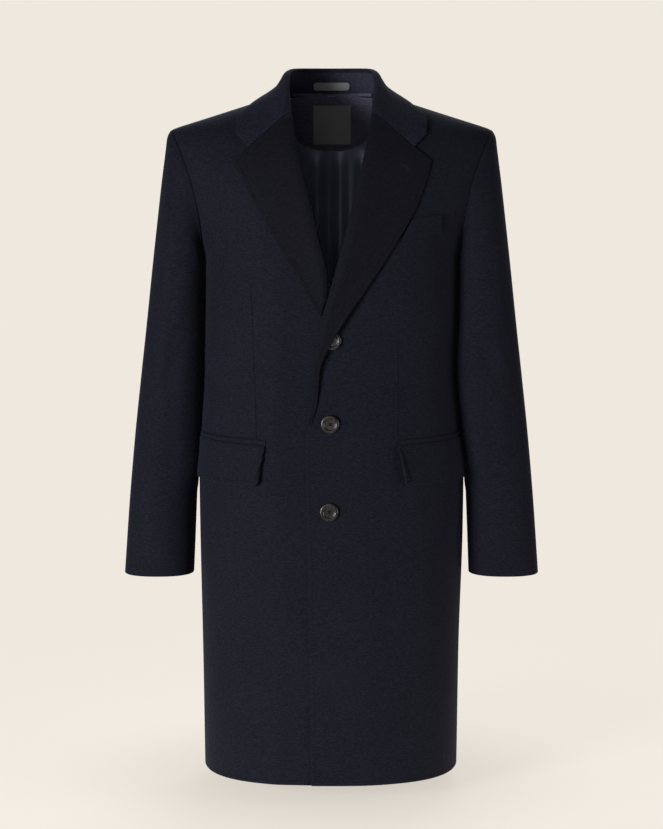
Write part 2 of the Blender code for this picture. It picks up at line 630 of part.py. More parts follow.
def build_inside(backs):
    tree = tree_of(*backs)
    xs = np.linspace(-LINING_HALF, LINING_HALF, 23)
    top = LINING_TOP - LINING_CURVE * (xs / LINING_HALF) ** 2
    rows = [top + (LINING_LOW - top) * share for share in np.linspace(0, 1, 12) ** 1.4]
    under = LAY_GAP + THIN_CLOTH
    inner_sheet("back_lining", tree, xs, rows, under, THIN_CLOTH, "satin", lining_fold)
    xs = np.linspace(-FACING_HALF, FACING_HALF, 11)
    bottom = FACING_LOW + FACING_CURVE[1] * (1 - (1 - np.abs(xs / FACING_HALF) ** FACING_ROUND) ** (1 / FACING_ROUND))
    top = FACING_TOP - FACING_CURVE[0] * (xs / FACING_HALF) ** 2
    rows = [top + (bottom - top) * share for share in np.linspace(0, 1, 8) ** 1.2]
    over = under + FACING_GAP + THIN_CLOTH
    facing = inner_sheet("neck_facing", tree, xs, rows, over, THIN_CLOTH, "wool")
    cover = tree_of(facing)
    xs = np.linspace(-LABEL_SIZE[0] / 2, LABEL_SIZE[0] / 2, 7) + LABEL_SHIFT
    rows = [np.full(7, LABEL_TOP - LABEL_SIZE[1] * share) for share in np.linspace(0, 1, 7) ** 1.2]
    inner_sheet("neck_label", cover, xs, rows, LABEL_GAP + TAPE_CLOTH, TAPE_CLOTH, "tape")


def build_tab():
    stand = bpy.data.objects["collar_stand"]
    tree = tree_of(stand)
    xs = np.linspace(-TAB_SIZE[0] / 2, TAB_SIZE[0] / 2, 7)
    rows = [np.full(7, TAB_TOP - TAB_SIZE[1] * share) for share in (0, 1)]
    inner_sheet("neck_tab", tree, xs, rows, LAY_GAP + TAPE_CLOTH, TAPE_CLOTH, "tape")


# ---------------------------------------------------------------- buttons
def turned(name, profile, point, shade):
    """A profile of radius and height, run down its outer side and turned about its axis."""
    data = bpy.data.meshes.new(name)
    data.from_pydata([(r, 0, h) for r, h in profile], [(k, k + 1) for k in range(len(profile) - 1)], [])
    obj = finish(name, data, shade)
    screw = obj.modifiers.new("turn", "SCREW")
    screw.steps = screw.render_steps = 20
    screw.use_merge_vertices = True
    screw.merge_threshold = 0.00005
    obj.location = point
    obj.rotation_euler = (math.pi / 2, 0, 0)
    return obj


def build_buttons(tree):
    half = BUTTON_THICK / 2
    profile = (
        (0.0, half * 0.35), (BUTTON_R * 0.55, half * 0.35), (BUTTON_R * 0.70, half),
        (BUTTON_R * 0.90, half), (BUTTON_R, half * 0.3), (BUTTON_R, -half * 0.4),
        (BUTTON_R * 0.88, -half), (SHANK_R, -half), (SHANK_R, -half - SHANK_LONG), (0.0, -half - SHANK_LONG),
    )
    for number, (x, z) in enumerate(BUTTONS, 1):
        seat = lay(tree, x, z, 0.0)
        proud = SEAM_GAP + SHANK_LONG + half
        turned(f"button_{number}", profile, (x, seat[1] - proud, z), "horn")


# ---------------------------------------------------------------- build
for old in list(bpy.data.objects):
    bpy.data.objects.remove(old)
COAT = bpy.data.collections.new("wool_overcoat")
bpy.context.scene.collection.children.link(COAT)

FRONTS, BACKS = build_body()
LEFT_TOP = lapel("lapel_left", 1, LEFT_LAPEL, FRONTS[0], 19)
RIGHT_TOP = lapel("lapel_right", -1, RIGHT_LAPEL, FRONTS[1], 18)
build_collar(FRONTS, BACKS, gorge_line(LEFT_TOP, 1), gorge_line(RIGHT_TOP, -1))
build_sleeves()
build_pockets(FRONTS[0])
build_inside(BACKS)
build_tab()
build_buttons(tree_of(FRONTS[0]))
print(len(COAT.objects), "pieces of the coat")
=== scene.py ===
# %% [markdown]
# # A single-breasted wool overcoat
#
# The coat hangs as if someone stood in it: hollow, rounded and closed with its buttons.
# Every piece of cloth is a thin closed shell. Its outer face is a surface worked out from
# the sizes of the coat, so each step below is mostly a formula, a thickness and a finish.
# The frame is in metres, +Z up, with the front towards -Y and the wearer's left at +X.

# %% Load the frame and keep its box
import math

import bmesh
import bpy
import numpy as np
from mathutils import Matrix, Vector
from mathutils.bvhtree import BVHTree


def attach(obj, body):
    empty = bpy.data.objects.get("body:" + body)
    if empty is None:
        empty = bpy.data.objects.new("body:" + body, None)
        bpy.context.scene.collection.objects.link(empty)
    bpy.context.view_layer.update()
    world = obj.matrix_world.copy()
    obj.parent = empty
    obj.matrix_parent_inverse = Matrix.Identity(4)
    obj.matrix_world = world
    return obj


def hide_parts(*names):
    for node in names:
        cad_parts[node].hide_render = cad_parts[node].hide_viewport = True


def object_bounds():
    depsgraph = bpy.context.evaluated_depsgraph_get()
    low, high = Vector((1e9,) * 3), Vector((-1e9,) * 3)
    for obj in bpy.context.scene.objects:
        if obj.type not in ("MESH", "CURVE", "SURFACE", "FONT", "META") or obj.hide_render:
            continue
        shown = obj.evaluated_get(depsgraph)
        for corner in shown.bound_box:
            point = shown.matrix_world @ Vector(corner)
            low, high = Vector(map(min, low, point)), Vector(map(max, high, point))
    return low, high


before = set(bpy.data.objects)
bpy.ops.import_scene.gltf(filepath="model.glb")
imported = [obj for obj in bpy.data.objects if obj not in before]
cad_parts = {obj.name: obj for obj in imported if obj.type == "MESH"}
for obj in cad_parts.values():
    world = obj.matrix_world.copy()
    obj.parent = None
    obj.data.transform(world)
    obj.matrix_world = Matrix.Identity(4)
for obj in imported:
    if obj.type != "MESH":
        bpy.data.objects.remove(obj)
CAD_BOX = [[float(v) for v in corner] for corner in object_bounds()]
print("frame box in mm", [[round(v * 1000) for v in corner] for corner in CAD_BOX])

# %% [markdown]
# ## Camera, floor and light
#
# A coat is shown from the front with a long lens, from a little above its middle, so that
# both sleeves keep their width. The floor is pale, and it fades out into the background, so
# no horizon cuts the picture. One large soft light stands to the left, and weaker ones fill
# the other side, the front and the back. The floor glows, so its shadows stay pale.
# A soft shadow under the coat is painted into the floor's glow.

# %% Camera
EYE = Vector((0.0, -3.30, -0.137))
LOOKED_AT = Vector((0.0, 0.0, -0.462))
LENS_MM, SENSOR_MM = 99.3, 36.0


def put(name, data):
    """A new object in the scene, with that camera, light or mesh."""
    made = bpy.data.objects.new(name, data)
    bpy.context.scene.collection.objects.link(made)
    return made


camera = put("camera", bpy.data.cameras.new("camera"))
camera.location = EYE
camera.rotation_euler = (LOOKED_AT - EYE).to_track_quat("-Z", "Y").to_euler()
camera.data.lens = LENS_MM
camera.data.sensor_width = SENSOR_MM
bpy.context.scene.camera = camera
bpy.context.scene.view_settings.view_transform = "Standard"
print("camera", [round(v, 3) for v in camera.location], "lens", LENS_MM, "mm")

# %% Node helpers: one call makes a node, sets its sockets and links its inputs
def add_node(tree, kind, inputs=None, **settings):
    """A shader node of that kind. An input's value is a constant or another node's output."""
    made = tree.nodes.new("ShaderNode" + kind)
    for name, value in settings.items():
        setattr(made, name, value)
    for key, value in (inputs or {}).items():
        if isinstance(value, bpy.types.NodeSocket):
            tree.links.new(value, made.inputs[key])
        else:
            made.inputs[key].default_value = value
    return made


def calculate(tree, operation, first, second=0.0, third=0.0):
    """The output of a Math node."""
    return add_node(tree, "Math", {0: first, 1: second, 2: third}, operation=operation).outputs[0]


def product(tree, first, second):
    """One value times another."""
    return calculate(tree, "MULTIPLY", first, second)


def ramp(tree, value, low, high, start=0.0, end=1.0, soft=False):
    """The value with low to high taken to start to end, straight or with soft ends."""
    sockets = {"Value": value, "From Min": low, "From Max": high, "To Min": start, "To Max": end}
    kind = "SMOOTHSTEP" if soft else "LINEAR"
    return add_node(tree, "MapRange", sockets, interpolation_type=kind).outputs[0]


def new_material(name, **sockets):
    """A material with one Principled shader, whose named sockets are constants."""
    made = bpy.data.materials.new(name)
    made.use_nodes = True
    shader = made.node_tree.nodes["Principled BSDF"]
    for socket, value in sockets.items():
        shader.inputs[socket.replace("_", " ")].default_value = value
    return made, made.node_tree, shader


# %% Background, floor and lights
PAPER = (0.863, 0.807, 0.730)
AMBIENT, AMBIENT_STRENGTH = (1.0, 0.98, 0.96, 1), 0.09
HEM_ABOVE = 0.030                        # the hem hangs this far above the floor
FLOOR_Z = CAD_BOX[0][2] - HEM_ABOVE
FLOOR_TINT, FLOOR_ROUGH = 0.32, 0.9      # the floor's own colour is this share of the paper's
FLOOR_SOLID, FLOOR_GONE = 0.35, 1.25     # the floor is whole inside one radius, gone past the other
FLOOR_GLOW = 0.850                       # the share of its brightness that no shadow takes away
# painted shadow: the floor's glow is made darker under the coat
UNDER_SHADE, UNDER_REACH = 0.22, 0.46    # the glow is less by this share under the coat, up to this radius

world = bpy.data.worlds.new("studio")
bpy.context.scene.world = world
world.use_nodes = True
sky = world.node_tree
sky.nodes.clear()
seen = add_node(sky, "Background", {"Color": (*PAPER, 1), "Strength": 1.0})
cast = add_node(sky, "Background", {"Color": AMBIENT, "Strength": AMBIENT_STRENGTH})
ray = add_node(sky, "LightPath")
both = add_node(sky, "MixShader", {0: ray.outputs["Is Camera Ray"], 1: cast.outputs[0], 2: seen.outputs[0]})
add_node(sky, "OutputWorld", {"Surface": both.outputs[0]})

bpy.ops.mesh.primitive_circle_add(vertices=96, radius=FLOOR_GONE, fill_type="NGON", location=(0, 0, FLOOR_Z))
floor = bpy.context.object
floor.name = "floor"
floor_material, tree, shader = new_material(
    "floor_paper", Roughness=FLOOR_ROUGH, Base_Color=(*(FLOOR_TINT * v for v in PAPER), 1),
    Emission_Color=(*PAPER, 1))
place = add_node(tree, "TexCoord").outputs["Object"]
away = add_node(tree, "VectorMath", {0: place}, operation="LENGTH").outputs["Value"]
# painted shadow: less glow near the middle, a soft contact shadow under the coat
glow = ramp(tree, away, 0.0, UNDER_REACH, FLOOR_GLOW * (1 - UNDER_SHADE), FLOOR_GLOW, soft=True)
tree.links.new(glow, shader.inputs["Emission Strength"])
shown = ramp(tree, away, FLOOR_SOLID, FLOOR_GONE, 1.0, 0.0, soft=True)
tree.links.new(shown, shader.inputs["Alpha"])
floor.data.materials.append(floor_material)

LIT_AT = Vector((0, 0, -0.45))
LIGHTS = (
    # name, watts, size in metres, place
    ("key", 104.0, 1.0, (-1.85, -2.35, -0.38)),
    ("fill", 40.0, 2.0, (3.2, -0.9, -0.3)),
    ("front", 8.0, 1.2, (-0.5, -3.4, -0.2)),
    ("back", 34.0, 2.0, (0.6, 2.8, 1.4)),
)
for name, watts, size, place in LIGHTS:
    lamp = put(name, bpy.data.lights.new(name, "AREA"))
    lamp.data.energy, lamp.data.size = watts, size
    lamp.location = place
    lamp.rotation_euler = (LIT_AT - Vector(place)).to_track_quat("-Z", "Y").to_euler()
print("floor at", round(FLOOR_Z, 3), "and", len(LIGHTS), "lights")

# %% [markdown]
# ## Sizes and sections of the coat
#
# A tailor drafts a coat from a few heights and girths. Here too: tables give the half width
# and the depth of the body at some heights, and smooth curves run through them. A section
# of the body is a superellipse, rounder than a box and flatter than an ellipse.

# %% Sizes: thicknesses, gaps between layers, heights, neck, shoulder, armhole and exponents
CLOTH, LAPEL_CLOTH, COLLAR_CLOTH, STAND_CLOTH, THIN_CLOTH = 0.0024, 0.0026, 0.0022, 0.0016, 0.0010
LAY_GAP, LAPEL_GAP, COLLAR_GAP, POINT_GAP, UNDERLAP_GAP = 0.0006, 0.0011, 0.0013, 0.0010, 0.0010
HEM_Z, ARMPIT_Z, NECK_Z, BACK_NECK_Z = -0.969, -0.235, -0.005, 0.0
NECK_HALF, NECK_BACK = 0.082, 0.066
SHOULDER_TIP, ARMPIT = np.array((0.228, -0.0525)), np.array((0.1825, ARMPIT_Z))
ARMHOLE_FRONT, ARMHOLE_BACK, ARMHOLE_BOW = 0.072, 0.078, 0.012
ROUNDNESS, YOKE, RING = 2.5, 2.2, 2.3


# %% Tables with named columns, and smooth curves through them
def table(names, *rows):
    """Columns by name, from rows of numbers. The first column is the key."""
    return dict(zip(names.split(), np.array(rows, float).T))


def along(rows, name, at):
    """A column at the given keys: cubic pieces that never overshoot the table's own values."""
    keys, values = next(iter(rows.values())), rows[name]
    gaps, rates = np.diff(keys), np.diff(values) / np.diff(keys)
    total = rates[1:] + rates[:-1]
    slope = np.zeros(len(keys))
    slope[1:-1] = np.where(rates[1:] * rates[:-1] > 0,
                           2 * rates[1:] * rates[:-1] / np.where(total == 0, 1, total), 0)
    slope[0], slope[-1] = rates[0], rates[-1]
    at = np.clip(np.asarray(at, float), keys[0], keys[-1])
    i = np.clip(np.searchsorted(keys, at, side="right") - 1, 0, len(gaps) - 1)
    t = (at - keys[i]) / gaps[i]
    return (values[i] * (1 + 2 * t) * (1 - t) ** 2 + slope[i] * gaps[i] * t * (1 - t) ** 2
            + values[i + 1] * t * t * (3 - 2 * t) - slope[i + 1] * gaps[i] * t * t * (1 - t))


def power(value, exponent):
    """A sine or cosine raised so that the curve becomes a superellipse of that exponent."""
    return np.sign(value) * np.abs(value) ** (2 / exponent)


def smooth(value):
    """0 to 1 with soft ends: three times the square less twice the cube."""
    value = np.clip(value, 0, 1)
    return value * value * (3 - 2 * value)


def evenly(share, *curves):
    """Each row's curve at even shares of its own length, all rows in one interpolation.

    The length so far is the running sum of the chords, scaled to 1, and two is added for
    each row, so that the rows lie one after another on a single line.
    """
    chords = np.sqrt(sum(np.diff(c, axis=1) ** 2 for c in curves))
    run = np.pad(np.cumsum(chords, axis=1), ((0, 0), (1, 0)))
    run = run / run[:, -1:] + 2 * np.arange(len(run))[:, None]
    at = share + 2 * np.arange(len(run))[:, None]
    return [np.interp(at.ravel(), run.ravel(), c.ravel()).reshape(at.shape) for c in curves]


BODY = table(
    "z half_width shift front back",
    (-0.969, 0.1840, -0.001, 0.165, 0.150),
    (-0.800, 0.1862, -0.001, 0.161, 0.150),
    (-0.620, 0.1905, 0.000, 0.155, 0.150),
    (-0.545, 0.1912, 0.000, 0.151, 0.148),
    (-0.470, 0.1872, -0.002, 0.144, 0.141),
    (-0.390, 0.1816, -0.003, 0.136, 0.129),
    (-0.300, 0.1818, -0.001, 0.143, 0.131),
    (-0.235, 0.1825, 0.000, 0.146, 0.135),
)
LEFT_EDGE = table(
    "z x",
    (-0.969, -0.0280), (-0.700, -0.0320), (-0.484, -0.0355), (-0.429, -0.0245),
    (-0.379, -0.0212), (-0.340, -0.0128), (-0.306, -0.0059), (-0.274, 0.0031),
    (-0.198, 0.0240), (-0.100, 0.0480), (-0.040, 0.0620), (-0.026, 0.0680),
    (-0.014, 0.0755), (-0.005, 0.0820),
)
RIGHT_EDGE = table(
    "z x",
    (-0.969, 0.0280), (-0.700, 0.0280), (-0.429, 0.0280), (-0.335, 0.0240),
    (-0.306, 0.0090), (-0.274, -0.0060), (-0.198, -0.0240), (-0.100, -0.0480),
    (-0.040, -0.0620), (-0.026, -0.0680), (-0.014, -0.0755), (-0.005, -0.0820),
)
print("tables:", len(BODY["z"]), "body sections,", len(LEFT_EDGE["z"]), "points down the front edge")


# %% [markdown]
# ## From a surface to a piece of cloth
#
# A surface has no thickness. Blender's Solidify could add it, but a coat's turned edges are
# round and its seams sink a little, and both need to know how far each point is from each
# edge. So the shell is built here: an outer face, an inner face and a rim, with the
# distance from each edge measured over the surface itself.

# %% Distances, normals and fine steps
def edge_distances(points):
    """How far each point is from the first and last column and row, along the surface."""
    across = np.linalg.norm(np.diff(points, axis=1), axis=2)
    upward = np.linalg.norm(np.diff(points, axis=0), axis=2)
    first = np.pad(np.cumsum(across, axis=1), ((0, 0), (1, 0)))
    low = np.pad(np.cumsum(upward, axis=0), ((1, 0), (0, 0)))
    return {"first": first, "last": first[:, -1:] - first, "low": low, "high": low[-1:] - low}


def outward(points, middle=(0.0, 0.0)):
    """Unit normals: the cross product of the steps across and upward, turned away from middle."""
    found = np.cross(np.gradient(points, axis=1), np.gradient(points, axis=0))
    found /= np.linalg.norm(found, axis=2, keepdims=True) + 1e-12
    away = points - np.array([*middle, 0.0])
    away[..., 2] = 0
    return found if (found * away).sum() > 0 else -found


EDGE_LINES = np.array((0.0, 0.0003, 0.0008, 0.0015, 0.0026))
EDGE_SHARE = 0.35          # on a narrow piece they keep to this share of its length at each edge


def steps(count, length, end=1.0):
    """Even steps from 0 to end, with the closer lines at each edge for its roundness."""
    close = EDGE_LINES * min(1.0, EDGE_SHARE * length / EDGE_LINES[-1]) / length * end
    return np.r_[close, np.linspace(close[-1], end - close[-1], count)[1:-1], end - close[::-1]]


def cubic(net, at, axis):
    """Smooth points between the rows of a net, by Catmull-Rom pieces, for all rows at once."""
    net = np.moveaxis(net, axis, 0)
    ends = np.concatenate([[2 * net[0] - net[1]], net, [2 * net[-1] - net[-2]]])
    i = np.clip(np.floor(at).astype(int), 0, len(net) - 2)
    t = (at - i)[:, None, None]
    a, b, c, d = (ends[i + k] for k in range(4))
    made = b + 0.5 * t * (c - a + t * (2 * a - 5 * b + 4 * c - d + t * (3 * (b - c) + d - a)))
    return np.moveaxis(made, 0, axis)


def finer(net, rows, cols, high, wide):
    """The smooth surface through a small net of points, at rows by cols fine steps."""
    net = np.asarray(net)
    by_rows = cubic(net, steps(rows, high, net.shape[0] - 1), 0)
    return cubic(by_rows, steps(cols, wide, net.shape[1] - 1), 1)


# %% The shell of a piece of cloth
SEAM_SINK, SEAM_WIDE = 0.0007, 0.0016
SHARP_ANGLE = math.radians(60)
ALL_ROUND = ("first", "last", "low", "high")       # a piece whose edges are all free
# painted shade: how near a seam the cloth is darkened
SEAM_SHADE_REACH = 0.0016         # the cloth is darker this near to a seam
ROUND_LEFT = 0.10          # a rounded edge keeps this share of its thickness, as a narrow rim


def mesh_object(name, points, faces, materials, face_material, uv, values):
    """An object from arrays of points and four-sided faces, with its UV map and attributes."""
    mesh = bpy.data.meshes.new(name)
    mesh.vertices.add(len(points))
    mesh.vertices.foreach_set("co", np.ascontiguousarray(points, np.float32).ravel())
    mesh.loops.add(faces.size)
    mesh.loops.foreach_set("vertex_index", faces.ravel().astype(np.int32))
    mesh.polygons.add(len(faces))
    mesh.polygons.foreach_set("loop_start", np.arange(0, faces.size, 4, dtype=np.int32))
    mesh.update(calc_edges=True)
    for material in materials:
        mesh.materials.append(material)
    mesh.polygons.foreach_set("material_index", face_material.astype(np.int32))
    layer = mesh.uv_layers.new(name="cloth")
    layer.data.foreach_set("uv", uv[faces.ravel()].astype(np.float32).ravel())
    for word, value in values.items():
        mesh.attributes.new(word, "FLOAT", "POINT").data.foreach_set("value", value.astype(np.float32))
    mesh.polygons.foreach_set("use_smooth", np.ones(len(faces), bool))
    mesh.set_sharp_from_angle(angle=SHARP_ANGLE)
    return put(name, mesh)


def grid_faces(index):
    """Four-sided faces between neighbours in a grid of vertex numbers."""
    return np.stack([index[:-1, :-1], index[:-1, 1:], index[1:, 1:], index[1:, :-1]], -1).reshape(-1, 4)


def around(index):
    """The numbers on the border of a grid, in order."""
    return np.r_[index[0, :-1], index[:-1, -1], index[-1, :0:-1], index[:0:-1, 0]]


def shell(name, points, thick, materials, free, relief=0.0, middle=(0.0, 0.0), inside=None,
          sewn=None, seam_deep=1.0):
    """A closed wall of cloth under a surface.

    The outer face is the surface moved out by relief, and the inner face lies thick below.
    Near a free edge both close in along a half circle. Near a seam the outer face sinks by a
    bell curve of the distance. inside picks, face by face, which material the inner face has,
    sewn gives the share, 0 to 1, by which a free edge is a seam, point by point, and
    seam_deep multiplies how far a seam sinks.
    """
    sewn = sewn or {}
    out = outward(points, middle)
    far = edge_distances(points)
    half = np.broadcast_to(thick, points.shape[:2]) / 2
    full, sink = np.ones(points.shape[:2]), np.zeros(points.shape[:2])
    for edge, away in far.items():
        seam = sewn.get(edge, 0.0) if edge in free else 1.0
        closed = np.maximum(np.sqrt(1 - (1 - np.clip(away / half, 0, 1)) ** 2), ROUND_LEFT)
        full = np.minimum(full, closed + (1 - closed) * seam)
        sink = np.maximum(sink, SEAM_SINK * np.exp(-(away / SEAM_WIDE) ** 2) * seam)
    lift = (relief - half * (1 - full) - sink * seam_deep)[..., None]
    drop = (relief - half * (1 + full))[..., None]
    outer, inner = points + out * lift, points + out * drop
    rows, cols = points.shape[:2]
    index = np.arange(rows * cols).reshape(rows, cols)
    back = index + rows * cols
    rim, under = around(index), around(back)
    faces = np.concatenate([
        grid_faces(index), grid_faces(back)[:, ::-1],
        np.stack([rim, under, np.roll(under, -1), np.roll(rim, -1)], -1),
    ])
    both = np.concatenate([outer.reshape(-1, 3), inner.reshape(-1, 3)])
    corner = both[faces]
    normals = np.cross(corner[:, 1] - corner[:, 0], corner[:, 2] - corner[:, 0])
    if np.einsum("ij,ij->", corner[:, 0], normals) < 0:      # the volume, six times over
        faces = faces[:, ::-1]
    kinds = np.zeros(len(faces), int)
    if len(materials) > 1:
        cells = (rows - 1) * (cols - 1)
        pick = np.ones((rows, cols), bool) if inside is None else inside(far)
        kinds[cells:2 * cells] = pick[:-1, :-1].ravel()
    nearest, seam_away = np.full(full.shape, 1.0), np.full(full.shape, 1.0)
    run = np.zeros_like(full)
    for edge in set(far) - set(free):
        seam_away = np.minimum(seam_away, far[edge])
    for edge, share in sewn.items():
        seam_away = np.minimum(seam_away, far[edge] + (1 - share) * SEAM_SHADE_REACH)
    for edge in free:
        side = far["low"] if edge in ("first", "last") else far["first"]
        run = np.where(far[edge] < nearest, side, run)
        nearest = np.minimum(nearest, far[edge])
    # seam is the distance to the nearest seam, which the wool finishes use for their painted seam shade
    values = {"edge": nearest, "run": run, "seam": seam_away}
    made = mesh_object(
        name, both, faces, materials, kinds,
        np.tile(np.stack([far["first"], far["low"]], -1).reshape(-1, 2), (2, 1)),
        {word: np.tile(value.ravel(), 2) for word, value in values.items()},
    )
    made["cut"] = cut_of(points, far)
    return made


def cut_of(points, far):
    """Width, length and area of the flat cut: its longest row and column, and all its cells."""
    one, two = points[1:, 1:] - points[:-1, :-1], points[1:, :-1] - points[:-1, 1:]
    area = np.linalg.norm(np.cross(one, two), axis=2).sum() / 2
    return [float(far["last"][:, 0].max()), float(far["high"][0].max()), float(area)]


def declare(piece, nodes):
    """Puts a finished sheet of cloth under the root body, and hides the frame's parts that it stands for."""
    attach(piece, "root")
    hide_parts(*nodes)
    return piece


# %% [markdown]
# ## Finishes
#
# The coat is a dense wool with a short nap, brushed downwards. The nap scatters light at
# grazing angles, which the shader's sheen does, and it breaks the surface into fine
# flecks, for which one noise is stretched across the cloth. The edges are sewn by hand with
# small pricks 6 mm in. They follow each piece's own edge distance, kept as an attribute.

# %% Wool
WOOL_DARK, WOOL_LIGHT = (0.0018, 0.0018, 0.0044, 1), (0.0086, 0.0088, 0.0176, 1)
# the colour of painted shade, at seams, darts, pricks and above the jets
PAINTED_SHADE_COLOUR = (0.0010, 0.0010, 0.0020, 1)
# painted shade: the lapels are the coat's wool made darker, for how light falls on them
LAPEL_DARK, LAPEL_LIGHT = (0.0010, 0.0010, 0.0024, 1), (0.0050, 0.0050, 0.0103, 1)
# painted light: the collar is the coat's wool made lighter, for how light falls on its leaf
COLLAR_DARK, COLLAR_LIGHT = (0.0030, 0.0030, 0.0070, 1), (0.0140, 0.0142, 0.0275, 1)
# painted light: the facing and the stand are the coat's wool made much lighter, for the light that does not
# reach inside the neck
FACING_DARK, FACING_LIGHT = (0.0470, 0.0450, 0.0700, 1), (0.1000, 0.0960, 0.1450, 1)
STAND_DARK, STAND_LIGHT = (0.0110, 0.0112, 0.0200, 1), (0.0310, 0.0320, 0.0520, 1)
PRICK_IN, PRICK_APART, PRICK_WIDE, QUILT_APART = 0.0060, 0.0050, 0.0009, 0.0050
NAP = dict(Roughness=0.85, Specular_IOR_Level=0.12, Sheen_Weight=0.06, Sheen_Roughness=0.42,
           Sheen_Tint=(0.55, 0.62, 0.95, 1))
NAP_STRETCH = (1.0, 1.0, 3.2)            # the noises lie across the cloth
# each noise's scale, detail and roughness, and its height in the bump
SLUB, FLECK, FIBRE = (210.0, 3.0, 0.6, 0.9), (640.0, 3.0, 0.75, 0.5), (2100.0, 3.0, 0.7, 0.35)
CLOUD_SCALE, CLOUD_SHARE, FLECK_SHARE = 14.0, 0.30, 0.35
TONE_LOW, TONE_HIGH = 0.42, 0.60         # the noise is darkest below one and lightest above the other
# painted shade at the seams:
SEAM_SHADE = 0.7                         # how far a seam goes to its dark colour
# how deep a line is in the bump, and how far it goes to the painted shade colour
PRICK_DEEP, PRICK_SHADE, LINE_DEEP, LINE_SHADE, QUILT_DEEP = 2.4, 0.45, 2.6, 0.6, 2.0
PRICK_SWING, QUILT_SWING, QUILT_POWER = 0.35, 0.4, 6.0
WOOL_BUMP = (0.6, 0.00050)
FRONT_SHADE_LINES = table(
    # two darts, then the seam above each pocket's jet: each a groove with painted shade along it
    "x z x_end z_end wide fade",
    (-0.1120, -0.2550, -0.1040, -0.4860, 0.0011, 0.03),
    (0.0940, -0.3050, 0.0940, -0.4860, 0.0011, 0.03),
    (0.0925, -0.4850, 0.1880, -0.4809, 0.0024, 0.002),
    (-0.0925, -0.4850, -0.1880, -0.4809, 0.0024, 0.002),
)


def noise(tree, vector, scale, detail=3.0, rough=0.6):
    """The value of a noise texture read at a vector."""
    sockets = {"Vector": vector, "Scale": scale, "Detail": detail, "Roughness": rough}
    return add_node(tree, "TexNoise", sockets).outputs[0]


def object_place(tree):
    """Where a point is, in metres."""
    return add_node(tree, "TexCoord").outputs["Object"]


def stretched(tree, vector, scale, turned=(0.0, 0.0, 0.0)):
    """A vector, scaled along each axis after a turn."""
    return add_node(tree, "Mapping", {"Vector": vector, "Scale": scale, "Rotation": turned}).outputs[0]


def attribute(tree, name):
    """The value that a piece keeps in the attribute of that name."""
    return add_node(tree, "Attribute", attribute_name=name).outputs["Fac"]


def blend_colour(tree, share, first, second):
    """A colour between two others. Either may be a constant or a link."""
    made = add_node(tree, "Mix", {"Factor": share}, data_type="RGBA")
    for socket, value in ((made.inputs[6], first), (made.inputs[7], second)):
        if isinstance(value, bpy.types.NodeSocket):
            tree.links.new(value, socket)
        else:
            socket.default_value = value
    return made.outputs[2]


def line_mask(tree, place, line, wide, fade):
    """1 on a line in the front view, 0 past wide to its sides, and begun over fade."""
    ax, az, bx, bz = line
    long = math.hypot(bx - ax, bz - az)
    way = ((bx - ax) / long, 0, (bz - az) / long)
    flat = add_node(tree, "VectorMath", {0: place, 1: (1, 0, 1)}, operation="MULTIPLY").outputs[0]
    reach = add_node(tree, "VectorMath", {0: flat, 1: (ax, 0, az)}, operation="SUBTRACT").outputs[0]
    run, off = (add_node(tree, "VectorMath", {0: reach, 1: axis}, operation="DOT_PRODUCT").outputs["Value"]
                for axis in (way, (-way[2], 0, way[0])))
    near = ramp(tree, calculate(tree, "ABSOLUTE", off), 0.0, wide, 1.0, 0.0, soft=True)
    over = calculate(tree, "LESS_THAN", run, long)
    return product(tree, near, product(tree, ramp(tree, run, 0.0, fade), over))


def waves(tree, run, apart):
    """The cosine of a distance, one wave for each step of apart."""
    return calculate(tree, "COSINE", product(tree, run, 2 * math.pi / apart))


def stitches(tree, run, apart, swing):
    """1 at each stitch, and less between them by twice the swing."""
    return calculate(tree, "MULTIPLY_ADD", waves(tree, run, apart), swing, 1 - swing)


def lower(tree, height, mask, deep):
    """The height, less deep where the mask is."""
    return calculate(tree, "SUBTRACT", height, product(tree, mask, deep))


def darken(tree, colour, mask, share):
    """The colour, gone by share to the painted shade colour where the mask is."""
    return blend_colour(tree, product(tree, mask, share), colour, PAINTED_SHADE_COLOUR)


def connect(tree, shader, colour, height=None, bump=()):
    """Links a colour to the shader, and a height as a bump of some strength and distance."""
    tree.links.new(colour, shader.inputs["Base Color"])
    if height is not None:
        strength, distance = bump
        made = add_node(tree, "Bump", {"Height": height, "Strength": strength, "Distance": distance})
        tree.links.new(made.outputs[0], shader.inputs["Normal"])


